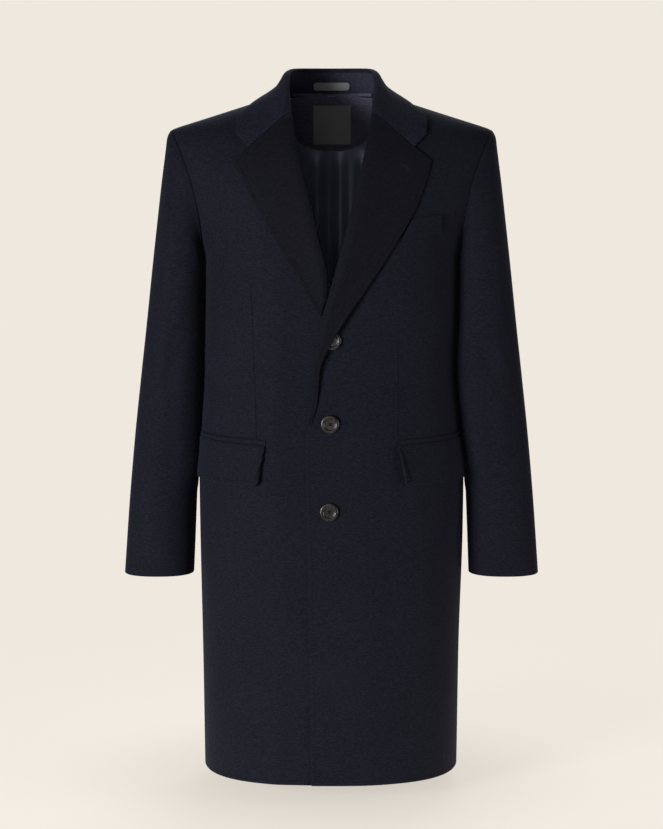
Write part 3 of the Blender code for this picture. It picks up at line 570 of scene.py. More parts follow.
def wool_finish(name, pricked=True, colours=(WOOL_DARK, WOOL_LIGHT), lines=None, quilted=False):
    """Dark wool: slubs and flecks across the cloth, a larger change of tone, nap and hand pricks.

    Its lines, darts and seams, are narrow grooves with painted shade in them, and the pricks
    have painted shade too. Quilting is rows of small dents along the collar.
    """
    made, tree, shader = new_material(name, **NAP)
    place = object_place(tree)
    across = stretched(tree, place, NAP_STRETCH)
    slub, fleck, fibre = (noise(tree, across, *kind[:3]) for kind in (SLUB, FLECK, FIBRE))
    mixed = calculate(tree, "MULTIPLY_ADD", fleck, FLECK_SHARE, product(tree, slub, 1 - FLECK_SHARE))
    toned = product(tree, ramp(tree, mixed, TONE_LOW, TONE_HIGH), 1 - CLOUD_SHARE)
    toned = calculate(tree, "MULTIPLY_ADD", noise(tree, place, CLOUD_SCALE, 2.0), CLOUD_SHARE, toned)
    colour = blend_colour(tree, toned, *colours)
    # painted shade: the cloth goes dark near each seam
    seam_shade_mask = ramp(tree, attribute(tree, "seam"), 0.0, SEAM_SHADE_REACH, SEAM_SHADE, 0.0, soft=True)
    colour = blend_colour(tree, seam_shade_mask, colour, PAINTED_SHADE_COLOUR)
    height = 0.0
    for value, kind in ((fibre, FIBRE), (fleck, FLECK), (slub, SLUB)):
        height = calculate(tree, "MULTIPLY_ADD", value, kind[3], height)
    if pricked:
        off = calculate(tree, "ABSOLUTE", calculate(tree, "SUBTRACT", attribute(tree, "edge"), PRICK_IN))
        prick = product(tree, ramp(tree, off, 0.0, PRICK_WIDE, 1.0, 0.0, soft=True),
                        stitches(tree, attribute(tree, "run"), PRICK_APART, PRICK_SWING))
        height = lower(tree, height, prick, PRICK_DEEP)
        # painted shade in each prick's dent
        colour = darken(tree, colour, prick, PRICK_SHADE)
    for *line, wide, fade in zip(*(lines or {}).values()):
        mask = line_mask(tree, place, line, wide, fade)
        height = lower(tree, height, mask, LINE_DEEP)
        # painted shade along each dart and above each jet
        colour = darken(tree, colour, mask, LINE_SHADE)
    if quilted:
        x, _, z = add_node(tree, "SeparateXYZ", {0: place}).outputs[:]
        row = calculate(tree, "MAXIMUM", waves(tree, z, QUILT_APART), 0.0)
        row = calculate(tree, "POWER", row, QUILT_POWER)
        dents = product(tree, row, stitches(tree, x, PRICK_APART, QUILT_SWING))
        height = lower(tree, height, dents, QUILT_DEEP)
    connect(tree, shader, colour, height, bump=WOOL_BUMP)
    return made


# %% Satin lining, woven tape, horn and thread
def lining_finish():
    """Satin: smooth, with fine ribs of weave along the cloth and a soft highlight. Its navy is made lighter
    as painted light.
    """
    made, tree, shader = new_material(
        "lining_satin_painted_light", Roughness=0.46, Specular_IOR_Level=0.40, Metallic=0.55, Sheen_Weight=0.06)
    place = object_place(tree)
    cloud = noise(tree, place, 22.0)
    ribs = noise(tree, stretched(tree, place, (3.0, 3.0, 0.4)), 900.0)
    # the satin's own navy, made lighter as painted light for the dim inside of the coat
    colour = blend_colour(tree, cloud, (0.1200, 0.1340, 0.1950, 1), (0.2050, 0.2240, 0.3000, 1))
    connect(tree, shader, colour, ribs, bump=(0.25, 0.0001))
    return made


def tape_finish():
    """A woven label: close ribs across it, dark grey, made lighter as painted light."""
    made, tree, shader = new_material(
        "label_tape_painted_light", Roughness=0.62, Specular_IOR_Level=0.35, Sheen_Weight=0.10)
    uv = add_node(tree, "UVMap", uv_map="cloth").outputs[0]
    weave = {"Vector": uv, "Scale": 260.0, "Distortion": 0.4}
    ribs = add_node(tree, "TexWave", weave, bands_direction="Y").outputs[1]
    # the label's own charcoal, made lighter as painted light for the dim inside of the neck
    colour = blend_colour(tree, ribs, (0.135, 0.139, 0.143, 1), (0.205, 0.210, 0.215, 1))
    connect(tree, shader, colour, ribs, bump=(0.4, 0.0002))
    return made


def horn_finish():
    """Polished buffalo horn: dark streaks that run through the disc."""
    made, tree, shader = new_material(
        "button_horn", Roughness=0.28, Specular_IOR_Level=0.50, Coat_Weight=0.06, Coat_Roughness=0.15)
    along_disc = stretched(tree, object_place(tree), (1.0, 1.0, 0.25), (0, 0.5, 0))
    streak = noise(tree, along_disc, 320.0, 5.0)
    colour = blend_colour(tree, ramp(tree, streak, 0.40, 0.72),
                          (0.0035, 0.0031, 0.0029, 1), (0.0200, 0.0175, 0.0145, 1))
    connect(tree, shader, colour, streak, bump=(0.08, 0.0003))
    return made


def thread_finish():
    """Twisted sewing thread, the colour of the cloth."""
    made, tree, shader = new_material("thread", Roughness=0.7, Specular_IOR_Level=0.15)
    twist = noise(tree, object_place(tree), 3000.0)
    colour = blend_colour(tree, twist, (0.0018, 0.0018, 0.0040, 1), (0.0080, 0.0080, 0.0150, 1))
    connect(tree, shader, colour)
    return made


WOOL = wool_finish("wool_nap")
WOOL_FRONT = wool_finish("wool_front", lines=FRONT_SHADE_LINES)
WOOL_PLAIN = wool_finish("wool_plain", pricked=False)
WOOL_FACING_PAINTED_LIGHT = wool_finish("wool_facing_painted_light", colours=(FACING_DARK, FACING_LIGHT))
WOOL_STAND_PAINTED_LIGHT = wool_finish("wool_stand_painted_light", pricked=False, colours=(STAND_DARK, STAND_LIGHT), quilted=True)
WOOL_LAPEL_PAINTED_SHADE = wool_finish("wool_lapel_painted_shade", colours=(LAPEL_DARK, LAPEL_LIGHT))
WOOL_COLLAR_PAINTED_LIGHT = wool_finish("wool_collar_painted_light", colours=(COLLAR_DARK, COLLAR_LIGHT))
SATIN, TAPE, HORN, THREAD = lining_finish(), tape_finish(), horn_finish(), thread_finish()
FINISHES = (WOOL, WOOL_FRONT, WOOL_PLAIN, WOOL_FACING_PAINTED_LIGHT, WOOL_STAND_PAINTED_LIGHT, WOOL_LAPEL_PAINTED_SHADE, WOOL_COLLAR_PAINTED_LIGHT,
            SATIN, TAPE, HORN, THREAD)
print("finishes:", [made.name for made in FINISHES])


# %% [markdown]
# ## Body: two fronts and two backs
#
# Four panels meet at the side seams, the shoulder seams and the seam down the back. Each is
# a patch: its rows run from the front edge, or the middle of the back, round to the side
# seam, and above the armpit they end on the armhole instead. Over the yoke the depth
# shrinks to nothing, which rolls the cloth over the shoulder into the seam.

# %% The surface of a body panel
ARC_POINTS = 500           # points on each section, from which the even ones are taken
WIDEST = 0.97              # a section's side lies no further forward than this share of its depth


def armhole(rise, front):
    """The armhole's loop: half an ellipse from armpit to shoulder tip, bowed in at its middle."""
    turn = math.pi * (1 - rise)
    middle, reach = (SHOULDER_TIP + ARMPIT) / 2, (SHOULDER_TIP - ARMPIT) / 2
    swing = ARMHOLE_FRONT if front else ARMHOLE_BACK
    return (middle[0] + reach[0] * np.cos(turn) - ARMHOLE_BOW * np.sin(turn) ** 2,
            swing * power(np.sin(turn), RING), middle[1] + reach[1] * np.cos(turn))


def body_surface(side, front, level, share, edge=None):
    """A panel at each level, 0 hem to 1 armpit to 2 shoulder, and share of the way round.

    x and y follow a superellipse whose depth shrinks over the yoke as
    (1 - rise ** YOKE) ** (1 / YOKE). Its width is such that it passes the armhole's point.
    """
    level = np.asarray(level, float)[:, None]
    rise = np.clip(level - 1, 0, 1)
    above = rise > 0
    z_side = HEM_Z + (ARMPIT_Z - HEM_Z) * np.minimum(level, 1)
    z_in = z_side
    shift = along(BODY, "shift", z_side)
    full = along(BODY, "front" if front else "back", z_side)
    depth = np.maximum(full * (1 - rise ** YOKE) ** (1 / YOKE), 1e-5)
    hole_x, hole_y, hole_z = armhole(rise, front)
    x_side = np.where(above, hole_x, along(BODY, "half_width", z_side))
    y_side = np.where(above, hole_y, 0.0)
    if front:
        z_in = np.where(above, ARMPIT_Z + (NECK_Z - ARMPIT_Z) * rise, z_in)
        x_in = side * (along(edge, "x", z_in) - shift)
    else:
        turn_in = (1 - (NECK_BACK / full) ** YOKE) ** (1 / YOKE)
        up = ARMPIT_Z + (BACK_NECK_Z - ARMPIT_Z) * np.minimum(rise / turn_in, 1)
        up = up + (NECK_Z - BACK_NECK_Z) * np.maximum(rise - turn_in, 0) / (1 - turn_in)
        z_in = np.where(above, up, z_in)
        x_in = NECK_HALF * np.sqrt(np.maximum(1 - (depth / NECK_BACK) ** 2, 0))
    closing = np.minimum(np.abs(y_side) / depth, WIDEST)
    wide = x_side / (1 - closing ** ROUNDNESS) ** (1 / ROUNDNESS)
    start = np.arcsin(np.clip(np.abs(x_in / wide) ** (ROUNDNESS / 2), 0, 1)) * np.sign(x_in)
    end = np.arcsin(np.clip((x_side / wide) ** (ROUNDNESS / 2), 0, 1))
    turn = start + (end - start) * np.linspace(0, 1, ARC_POINTS)
    x, y = evenly(share, wide * power(np.sin(turn), ROUNDNESS),
                  depth * power(np.cos(turn), ROUNDNESS))
    z = z_in + (np.where(above, hole_z, z_side) - z_in) * share
    return np.stack([side * x + shift, (-1 if front else 1) * y, z], -1)


def body_levels(low, high):
    """Levels of the rows: even up to the armpit, then closer together towards the shoulder."""
    turn = np.linspace(0, math.pi / 2, high + 1)[1:]
    below = steps(low, ARMPIT_Z - HEM_Z)[:-len(EDGE_LINES)]
    return np.r_[below, 1, 1 + np.sin(turn) ** (2 / YOKE)]


# %% Soft folds, placed one by one
def soft_folds(across, upward, rows):
    """The sum of soft troughs and ridges.

    Each runs along a line between two places. Its height is a bell curve of the distance
    from that line, and it fades towards both ends.
    """
    total = np.zeros_like(across)
    for a0, u0, a1, u1, wide, high in zip(*rows.values()):
        run = np.array((a1 - a0, u1 - u0))
        length = np.hypot(*run)
        t = ((across - a0) * run[0] + (upward - u0) * run[1]) / length ** 2
        off = ((across - a0) * run[1] - (upward - u0) * run[0]) / length
        total += high * np.exp(-(off / wide) ** 2) * smooth(t * 3 + 0.5) * smooth((1 - t) * 3 + 0.5)
    return total


def calm(far, **reach):
    """0 at the named edges, and 1 further from each than its reach: no fold shows at a seam."""
    return math.prod(smooth(far[edge] / over) for edge, over in reach.items())


FRONT_FOLDS = table(
    "x z x_end z_end wide high",
    (0.150, -0.960, 0.120, -0.600, 0.024, 0.0016),
    (0.095, -0.965, 0.085, -0.700, 0.022, -0.0012),
    (0.045, -0.965, 0.040, -0.640, 0.022, 0.0008),
    (0.165, -0.300, 0.120, -0.420, 0.016, 0.0008),
    (0.150, -0.330, 0.090, -0.450, 0.020, -0.0007),
    (0.160, -0.120, 0.150, -0.230, 0.014, -0.0014),
)
BACK_FOLDS = table(
    "x z x_end z_end wide high",
    (0.140, -0.960, 0.105, -0.520, 0.024, 0.0026),
    (0.090, -0.965, 0.080, -0.560, 0.022, -0.0022),
    (0.050, -0.965, 0.052, -0.620, 0.020, 0.0016),
    (0.120, -0.250, 0.080, -0.400, 0.020, 0.0014),
    (0.140, -0.280, 0.100, -0.430, 0.016, -0.0012),
    (0.150, -0.110, 0.130, -0.240, 0.018, 0.0016),
)
FRONT_FACING = 0.085       # the wool facing inside the front edge
HEM_TURNED = 0.040         # the hem's turned-up wool
# the right front sinks under the left one from an x and a z on, over these distances
UNDERLAP = (-0.085, 0.040, -0.190, 0.070)


def lined(far):
    """The inner face is satin, but for the front facing and the turned-up hem."""
    return (far["first"] > FRONT_FACING) & (far["low"] > HEM_TURNED)


# %% Make the four panels
levels = body_levels(low=136, high=76)
fronts, backs = {}, {}
for side, word, edge in ((1, "left", LEFT_EDGE), (-1, "right", RIGHT_EDGE)):
    points = body_surface(side, True, levels, steps(104, length=0.25), edge)
    if word == "right":
        from_x, over_x, from_z, over_z = UNDERLAP
        under = smooth((points[..., 0] - from_x) / over_x) * smooth((from_z - points[..., 2]) / over_z)
        points[..., 1] += (CLOTH + UNDERLAP_GAP) * under
    far = edge_distances(points)
    relief = soft_folds(side * points[..., 0], points[..., 2], FRONT_FOLDS)
    relief = relief * calm(far, first=0.05, last=0.03, high=0.03)
    piece = shell(f"cloth_front_{word}", points, CLOTH, [WOOL_FRONT, SATIN], ("first", "low"),
                  relief, inside=lined)
    fronts[word] = declare(piece, [f"front_{word}"])
    points = body_surface(side, False, levels, steps(84, length=0.22))
    far = edge_distances(points)
    relief = soft_folds(side * points[..., 0], points[..., 2], BACK_FOLDS)
    relief = relief * calm(far, first=0.03, last=0.03, high=0.03)
    piece = shell(f"cloth_back_{word}", points, CLOTH, [WOOL_PLAIN, SATIN], ("low",), relief,
                  inside=lambda far: far["low"] > HEM_TURNED)
    backs[word] = declare(piece, [f"back_{word}"])


# %% [markdown]
# ## Lapels and collar
#
# A lapel is the front's own upper edge turned over. It lies on the chest, springs up a
# little at the roll, and its edge is loose. The collar's leaf folds over a stand that
# rises round the neck. Both depend on what they lie on, so a small net of points is laid on
# the panels with rays, and a smooth surface runs through the net.

# %% Laying points on cloth
STEP_TRIES = 30
FROM_OUTSIDE = 0.15        # a ray starts this far off the cloth


def tree_of(*pieces):
    """A search tree of the pieces' faces, for rays."""
    points, faces = [], []
    for piece in pieces:
        count = len(piece.data.vertices)
        found = np.empty(count * 3, np.float32)
        piece.data.vertices.foreach_get("co", found)
        corner = np.empty(len(piece.data.loops), np.int32)
        piece.data.loops.foreach_get("vertex_index", corner)
        faces += (corner.reshape(-1, 4) + len(points)).tolist()
        points += found.reshape(-1, 3).tolist()
    return BVHTree.FromPolygons(points, faces)


def lay(tree, x, z, lift, start=-1.0, inward=0.0, down=0.0):
    """The cloth's point behind (x, z), moved out by lift. Past the edge it steps inward or down."""
    for step in range(STEP_TRIES):
        origin = Vector((x + inward * step, start, z - down * step))
        hit, normal, _, _ = tree.ray_cast(origin, Vector((0, 1, 0)))
        if hit:
            return np.array(hit + normal * lift)
    raise ValueError(f"no cloth behind x {x:.3f}, z {z:.3f}")


def clear_of(tree, point, out, lift, seat=False):
    """The point, moved along out until it is at least lift off the cloth, or just that."""
    out = Vector(out).normalized()
    hit, _, _, _ = tree.ray_cast(Vector(point) + FROM_OUTSIDE * out, -out)
    if hit and (seat or (Vector(point) - hit).dot(out) < lift):
        return np.array(hit + out * lift)
    return np.array(point)


# %% Lapels
LEFT_LAPEL = table(
    "row roll_z roll_x edge_z edge_x stand_off",
    (0, -0.462, -0.0310, -0.462, -0.0275, 0.0000),
    (1, -0.429, -0.0245, -0.434, -0.0203, 0.0014),
    (2, -0.379, -0.0212, -0.384, -0.0152, 0.0048),
    (3, -0.340, -0.0128, -0.348, 0.0000, 0.0072),
    (4, -0.306, -0.0059, -0.318, 0.0175, 0.0070),
    (5, -0.274, 0.0031, -0.290, 0.0370, 0.0044),
    (6, -0.198, 0.0240, -0.228, 0.0790, 0.0012),
    (7, -0.120, 0.0430, -0.160, 0.1190, 0.0000),
    (8, -0.070, 0.0545, -0.118, 0.1340, 0.0000),
    (9, -0.035, 0.0600, -0.098, 0.1390, 0.0000),
)
RIGHT_LAPEL = table(
    "row roll_z roll_x edge_z edge_x stand_off",
    (0, -0.311, -0.0150, -0.312, -0.0154, 0.0000),
    (1, -0.300, -0.0135, -0.302, -0.0222, 0.0000),
    (2, -0.286, -0.0100, -0.290, -0.0300, 0.0000),
    (3, -0.262, -0.0092, -0.270, -0.0410, 0.0008),
    (4, -0.198, -0.0240, -0.218, -0.0720, 0.0000),
    (5, -0.120, -0.0430, -0.150, -0.1110, 0.0000),
    (6, -0.070, -0.0545, -0.118, -0.1280, 0.0000),
    (7, -0.035, -0.0600, -0.098, -0.1390, 0.0000),
)
LAPEL_CROSS = table(
    # share of the width, sideways past the roll, lift above the lying height
    "column share past lift",
    (0, 0.00, -0.0044, -0.0040), (1, 0.00, -0.0044, 0.0012), (2, 0.04, -0.0014, 0.0036),
    (3, 0.12, 0.0, 0.0040), (4, 0.22, 0.0, 0.0032), (5, 0.34, 0.0, 0.0020), (6, 0.47, 0.0, 0.0010),
    (7, 0.60, 0.0, 0.0004), (8, 0.72, 0.0, 0.0), (9, 0.84, 0.0, 0.0), (10, 0.93, 0.0, 0.0),
    (11, 1.00, 0.0, 0.0),
)
ROLL_INSET, LAPEL_FULL, ROLL_HELD, ROLL_WIDE = 0.0034, 0.030, 0.3, 0.12
LAPEL_GRID = dict(rows=130, cols=60, high=0.5, wide=0.09)
BEHIND_X, BEHIND_Y = 0.2, 0.3      # a lapel's outer face looks away from a place this far across and back
LAY_STEP = 0.002           # a ray that misses the front's edge is moved in by this
SEAM_SOFT = 0.3            # a seam ends in a free edge over this share of a column
THIN_END = 0.28            # a lapel's lowest point keeps this share of its thickness
WRAP_OVER = 0.005          # over this distance the roll goes from round the front's edge to on top of it
NOTCH_AT = 7.8             # the column of LAPEL_CROSS where the gorge seam ends in the notch


def thinning(share, over):
    """The share of its thickness that a lapel has, from its lowest end up."""
    return THIN_END + (1 - THIN_END) * smooth(share / over)


def lapel_net(side, rows, edge, tree, count, over):
    """A net from the bottom of the roll to the gorge: each row crosses from roll to edge."""
    net = []
    for at in np.linspace(0, len(rows["row"]) - 1, count):
        here = {name: float(along(rows, name, at)) for name in rows}
        wide = abs(here["edge_x"] - here["roll_x"])
        thin = float(thinning(at / (len(rows["row"]) - 1), over))
        line = []
        for _, share, past, lift in zip(*LAPEL_CROSS.values()):
            x = here["roll_x"] + (here["edge_x"] - here["roll_x"]) * share
            z = here["roll_z"] + (here["edge_z"] - here["roll_z"]) * share
            over_x = side * max(side * x, side * here["roll_x"] + ROLL_INSET)
            scale = min(1.0, wide / LAPEL_FULL) if lift > 0 else (thin - THIN_END) / (1 - THIN_END)
            past = past * thin
            if lift < 0:
                inside = side * (x + side * past - float(along(edge, "x", z)))
                lift *= 1 - float(smooth(inside / WRAP_OVER + 0.5))
            opened = ROLL_HELD + (1 - ROLL_HELD) * float(smooth(share / ROLL_WIDE))
            proud = (LAPEL_CLOTH + LAPEL_GAP) * thin + lift * scale + here["stand_off"] * opened
            point = lay(tree, over_x, z, proud, inward=side * LAY_STEP)
            point[0] = x + side * past
            line.append(point)
        net.append(line)
    return np.array(net)


LAPEL_SIDES = (
    # side, name, rows, the front's edge, rows of the net, and the share over which it thickens
    (1, "left", LEFT_LAPEL, LEFT_EDGE, 40, 0.24), (-1, "right", RIGHT_LAPEL, RIGHT_EDGE, 30, 0.30),
)
gorges, lapels = {}, {}
for side, word, rows, edge, count, over in LAPEL_SIDES:
    net = lapel_net(side, rows, edge, tree_of(fronts[word]), count, over)
    gorges[side] = net[-1]
    share_up = steps(LAPEL_GRID["rows"], LAPEL_GRID["high"])
    columns = steps(LAPEL_GRID["cols"], LAPEL_GRID["wide"]) * LAPEL_CROSS["column"][-1]
    piece = shell(f"cloth_lapel_{word}", finer(net, **LAPEL_GRID),
                  LAPEL_CLOTH * thinning(share_up, over)[:, None], [WOOL_LAPEL_PAINTED_SHADE],
                  ("last", "high", "low"), middle=(-side * BEHIND_X, BEHIND_Y),
                  sewn={"high": smooth((NOTCH_AT - columns) / SEAM_SOFT)[None, :]})
    lapels[word] = declare(piece, [f"lapel_{word}"])

# %% Collar: the stand round the neck and the leaf that turns down over it
COLLAR = table(
    "row fold_x fold_y fold_z seam_x seam_y seam_z edge_x edge_y edge_z",
    (0, 0.0000, 0.064, 0.0335, 0.0000, 0.0655, 0.0010, 0.000, 0.088, -0.014),
    (1, 0.0350, 0.055, 0.0332, 0.0410, 0.0570, 0.0010, 0.050, 0.079, -0.014),
    (2, 0.0550, 0.031, 0.0315, 0.0695, 0.0350, 0.0000, 0.081, 0.047, -0.013),
    (3, 0.0635, 0.000, 0.0250, 0.0812, 0.0005, -0.0034, 0.100, 0.004, -0.010),
    (4, 0.0645, -0.028, 0.0100, 0.0795, -0.0283, -0.0062, 0.115, -0.035, -0.019),
    (5, 0.0620, -0.054, -0.0090, 0.0740, -0.0540, -0.0150, 0.128, -0.060, -0.040),
    (6, 0.0585, -0.080, -0.0325, 0.0640, -0.0700, -0.0250, 0.133, -0.080, -0.062),
)
NECK_CENTRE, STAND_STATIONS, STAND_TOP = 0.020, 4.6, 0.96
LEAF_TURN = ((-0.0052, -0.0010), (-0.0040, 0.0030), (0.0004, 0.0046), (0.0052, 0.0020))
LEAF_FALL = table(
    # share of the way from the turn to the edge, and how far it hollows towards the neck
    "share hollow",
    (0.22, 0.0030), (0.45, 0.0058), (0.68, 0.0034), (0.74, 0.0024), (0.80, 0.0014),
    (0.90, 0.0004), (1.00, 0.0),
)
NOTCH_SHARE = 0.74         # here the collar's end turns from the gorge seam to its point
# the columns of the lapel that the collar's end is sewn along
GORGE_AT = (0, 1, 2, 3, 4, 5.45, 7, NOTCH_AT)
SEWN_ROWS = len(GORGE_AT) - len(LEAF_TURN)         # rows of LEAF_FALL that are on the seam too
GORGE_GAP = np.array((0.62, 0.0, 0.78)) * 0.0004
POINT_FORWARD, POINT_LESS_UP = 1.3, 0.7            # outward leans this far forward and down at the points
ALL_SEWN = 0.99            # past this share the end is held by the seam alone
LEAF_COLUMNS = dict(cols=44, wide=0.07)


def collar_line(which, station):
    """Fold, seam or edge of the collar at signed stations from the middle of the back."""
    x, y, z = (along(COLLAR, f"{which}_{axis}", np.abs(station)) for axis in "xyz")
    return np.stack([np.where(station < 0, -1, 1) * x, y, z], -1)


def leaf_net(tree, gorges, count):
    """The leaf: over the fold, hollow down to its edge, and sewn along the gorge at its ends."""
    last = COLLAR["row"][-1]
    net = []
    for station in np.linspace(-last, last, count):
        fold, edge = collar_line("fold", station), collar_line("edge", station)
        out = np.array([fold[0], fold[1] + NECK_CENTRE, 0.0])
        out /= np.linalg.norm(out)
        end = float(smooth(abs(station) - (last - 1)))
        aim = out * (1 - end) + np.array([0, -POINT_FORWARD * end, 1 - POINT_LESS_UP * end])
        lying = COLLAR_CLOTH + COLLAR_GAP + POINT_GAP * end
        edge = clear_of(tree, edge, aim, lying, seat=True)
        side = 1 if station >= 0 else -1
        gorge = gorges[side]
        sewn_to = np.stack([np.interp(GORGE_AT, range(len(gorge)), values) for values in gorge.T], -1)
        sewn_to = sewn_to + GORGE_GAP * (side, 1, 1)
        line = [fold + out * a + np.array([0, 0, b]) for a, b in LEAF_TURN]
        start, notch = line[-1], sewn_to[-1]
        line = [own + (seam - own) * end for own, seam in zip(line, sewn_to)]
        for number, (share, hollow) in enumerate(zip(*LEAF_FALL.values())):
            straight = start + (edge - start) * share - out * hollow * (1 - end)
            on_seam = number < SEWN_ROWS
            cornered = sewn_to[len(LEAF_TURN) + number] if on_seam else (
                notch + (edge - notch) * (share - NOTCH_SHARE) / (1 - NOTCH_SHARE))
            mixed = straight + (cornered - straight) * end
            held = end > ALL_SEWN and on_seam
            line.append(mixed if held else clear_of(tree, mixed, aim, lying))
        net.append(line)
    return np.array(net)


station = np.linspace(-STAND_STATIONS, STAND_STATIONS, 23)
foot, fold = collar_line("seam", station), collar_line("fold", station)
net = foot[None] + (fold - foot)[None] * np.linspace(0, STAND_TOP, 4)[:, None, None]
points = finer(net, rows=24, cols=170, high=0.035, wide=0.28)
piece = shell("cloth_collar_stand", points, STAND_CLOTH, [WOOL_STAND_PAINTED_LIGHT], ("high",))
stand_piece = declare(piece, ["collar_stand"])

net = leaf_net(tree_of(*fronts.values(), *backs.values()), gorges, 61)
columns = steps(LEAF_COLUMNS["cols"], LEAF_COLUMNS["wide"], net.shape[1] - 1)
gorge_seam = smooth((len(GORGE_AT) - 1 - columns) / SEAM_SOFT)[None, :]
points = finer(net, rows=200, high=0.45, **LEAF_COLUMNS)
piece = shell("cloth_collar_leaf", points, COLLAR_CLOTH, [WOOL_COLLAR_PAINTED_LIGHT], ("low", "high", "last"),
              sewn={"low": gorge_seam, "high": gorge_seam})
declare(piece, ["collar_leaf"])


# %% [markdown]
# ## Sleeves
#
# A sleeve is cut in two: a wide top piece and a narrow under piece. Rings run from the
# armhole's loop, which stands upright, to the level cuff. The top of the sleeve is a
# little fuller than the armhole, and tailors let that show as a soft ridge.

# %% Rings of a sleeve
SLEEVE = table(
    "ring outer_x outer_z inner_x inner_z mid_y deep",
    (0, 0.2280, -0.0525, 0.1825, -0.2350, 0.003, 0.0750),
    (1, 0.2345, -0.0660, 0.1840, -0.2450, 0.003, 0.0750),
    (2, 0.2412, -0.1100, 0.1846, -0.2600, 0.002, 0.0760),
    (3, 0.2495, -0.1800, 0.1844, -0.2850, 0.000, 0.0745),
    (4, 0.2580, -0.2550, 0.1840, -0.3180, -0.002, 0.0720),
    (5, 0.2655, -0.3250, 0.1838, -0.3550, -0.003, 0.0700),
    (6, 0.2745, -0.4050, 0.1853, -0.4150, -0.006, 0.0670),
    (7, 0.2830, -0.4850, 0.1905, -0.4900, -0.011, 0.0625),
    (8, 0.2912, -0.5800, 0.1945, -0.5800, -0.019, 0.0560),
    (9, 0.2985, -0.6870, 0.1985, -0.6870, -0.029, 0.0490),
)
SLEEVE_SEAMS = (math.radians(150.0), math.radians(262.0))
SLEEVE_NEAR = 0.0009       # its seam leans this far to the body under the arm, where both edges sink
BLEND_RINGS = 3            # over these rings the armhole's loop becomes a sleeve
HEAD_RIDGE, RIDGE_AT, HEAD_WIDE = 0.0016, 0.007, 0.012
MM = 1000.0                # the sleeves' folds are placed in degrees and millimetres
PRESS = table("z deep", (-0.570, 0.0), (-0.505, 0.010), (-0.268, 0.010), (-0.240, 0.0))
BESIDE, BESIDE_SOFT, BESIDE_TOP = 0.0012, 0.0008, -0.240


def body_side(side, y, z):
    """How far out the body reaches at a depth and a height, from its own superellipse there."""
    half, shift = along(BODY, "half_width", z), along(BODY, "shift", z)
    deep = np.where(y < 0, along(BODY, "front", z), along(BODY, "back", z))
    closing = np.minimum(np.abs(y) / deep, WIDEST)
    return half * (1 - closing ** ROUNDNESS) ** (1 / ROUNDNESS) + side * shift


def sleeve_surface(side, station, turn):
    """Rings of a sleeve. Between shoulder and upper arm the loop of the armhole blends into
    a superellipse whose ends are the outermost and innermost points in the table, the inner
    one shifted as the body beside it is. The hanging sleeve presses against the body: its
    inner side reaches further in by PRESS, and then it stays outside the body's own side by
    a soft maximum, the logarithm of a sum of powers of e."""
    station, turn = np.asarray(station)[:, None], np.asarray(turn)[None]
    here = {name: along(SLEEVE, name, station) for name in SLEEVE}
    inner_x = here["inner_x"] + side * along(BODY, "shift", here["inner_z"])
    inner_x = inner_x - along(PRESS, "deep", here["inner_z"])
    blend = smooth(station / BLEND_RINGS)
    cos, sin = np.cos(turn), np.sin(turn)
    round_cos = cos + (power(cos, RING) - cos) * blend
    x = (here["outer_x"] + inner_x) / 2 + (here["outer_x"] - inner_x) / 2 * round_cos
    x = x - ARMHOLE_BOW * sin ** 2 * (1 - blend)
    z = (here["outer_z"] + here["inner_z"]) / 2 + (here["outer_z"] - here["inner_z"]) / 2 * round_cos
    y_arm = -np.where(sin > 0, ARMHOLE_FRONT, ARMHOLE_BACK) * power(sin, RING)
    y = y_arm + (here["mid_y"] - here["deep"] * power(sin, RING) - y_arm) * blend
    beside = body_side(side, y, z) + BESIDE
    pressed = beside + BESIDE_SOFT * np.logaddexp(0, (x - beside) / BESIDE_SOFT)
    x = np.where(z < BESIDE_TOP, pressed, x)
    return np.stack([side * x, y, z], -1)


SLEEVE_FOLDS = table(
    # degrees from the outermost point, towards the front, and heights
    "turn z turn_end z_end wide high",
    (60, -0.200, 75, -0.420, 12, 0.0014),
    (85, -0.330, 100, -0.560, 12, -0.0014),
    (30, -0.300, 40, -0.520, 14, 0.0012),
    (100, -0.300, 55, -0.400, 8, 0.0012),
    (105, -0.350, 60, -0.455, 8, -0.0010),
    (-60, -0.200, -70, -0.430, 14, 0.0016),
    (-95, -0.330, -85, -0.600, 12, -0.0014),
)
station = steps(150, length=0.65, end=SLEEVE["ring"][-1])
fore, hind = SLEEVE_SEAMS
HALVES = (("top", np.linspace(hind - 2 * math.pi, fore, 150)), ("under", np.linspace(fore, hind, 84)))
for side, word in ((1, "left"), (-1, "right")):
    for part, turn in HALVES:
        points = sleeve_surface(side, station, turn)
        near = SLEEVE_NEAR * (1 - np.cos(turn)[None]) / 2 * (1 - smooth(station))[:, None]
        points[..., 0] -= side * near
        far = edge_distances(points)
        degrees = np.degrees(np.broadcast_to(turn[None], far["low"].shape))
        scaled = {**SLEEVE_FOLDS, "z": SLEEVE_FOLDS["z"] * MM, "z_end": SLEEVE_FOLDS["z_end"] * MM}
        relief = soft_folds(degrees, points[..., 2] * MM, scaled)
        relief = relief * calm(far, low=0.05, high=0.05, first=0.01, last=0.01)
        crown = np.maximum(np.cos(np.radians(degrees)), 0) ** 0.5
        relief = relief + HEAD_RIDGE * crown * np.exp(-((far["low"] - RIDGE_AT) / HEAD_WIDE) ** 2)
        axis = points.mean(axis=1)
        piece = shell(f"cloth_sleeve_{part}_{word}", points, CLOTH, [WOOL_PLAIN, SATIN], ("high",), relief,
                      middle=(axis[-1, 0], axis[-1, 1]), inside=lambda far: far["high"] > HEM_TURNED)
        declare(piece, [f"sleeve_{part}_{word}"])


# %% [markdown]
# ## Pockets
#
# Each hip pocket is a slit with a narrow jet above and a flap below. The flap follows the
# body round to the side and stands a little off it at the bottom. The breast pocket is a
# welt: a narrow strip laid aslant on the left front, over the pocket's mouth.

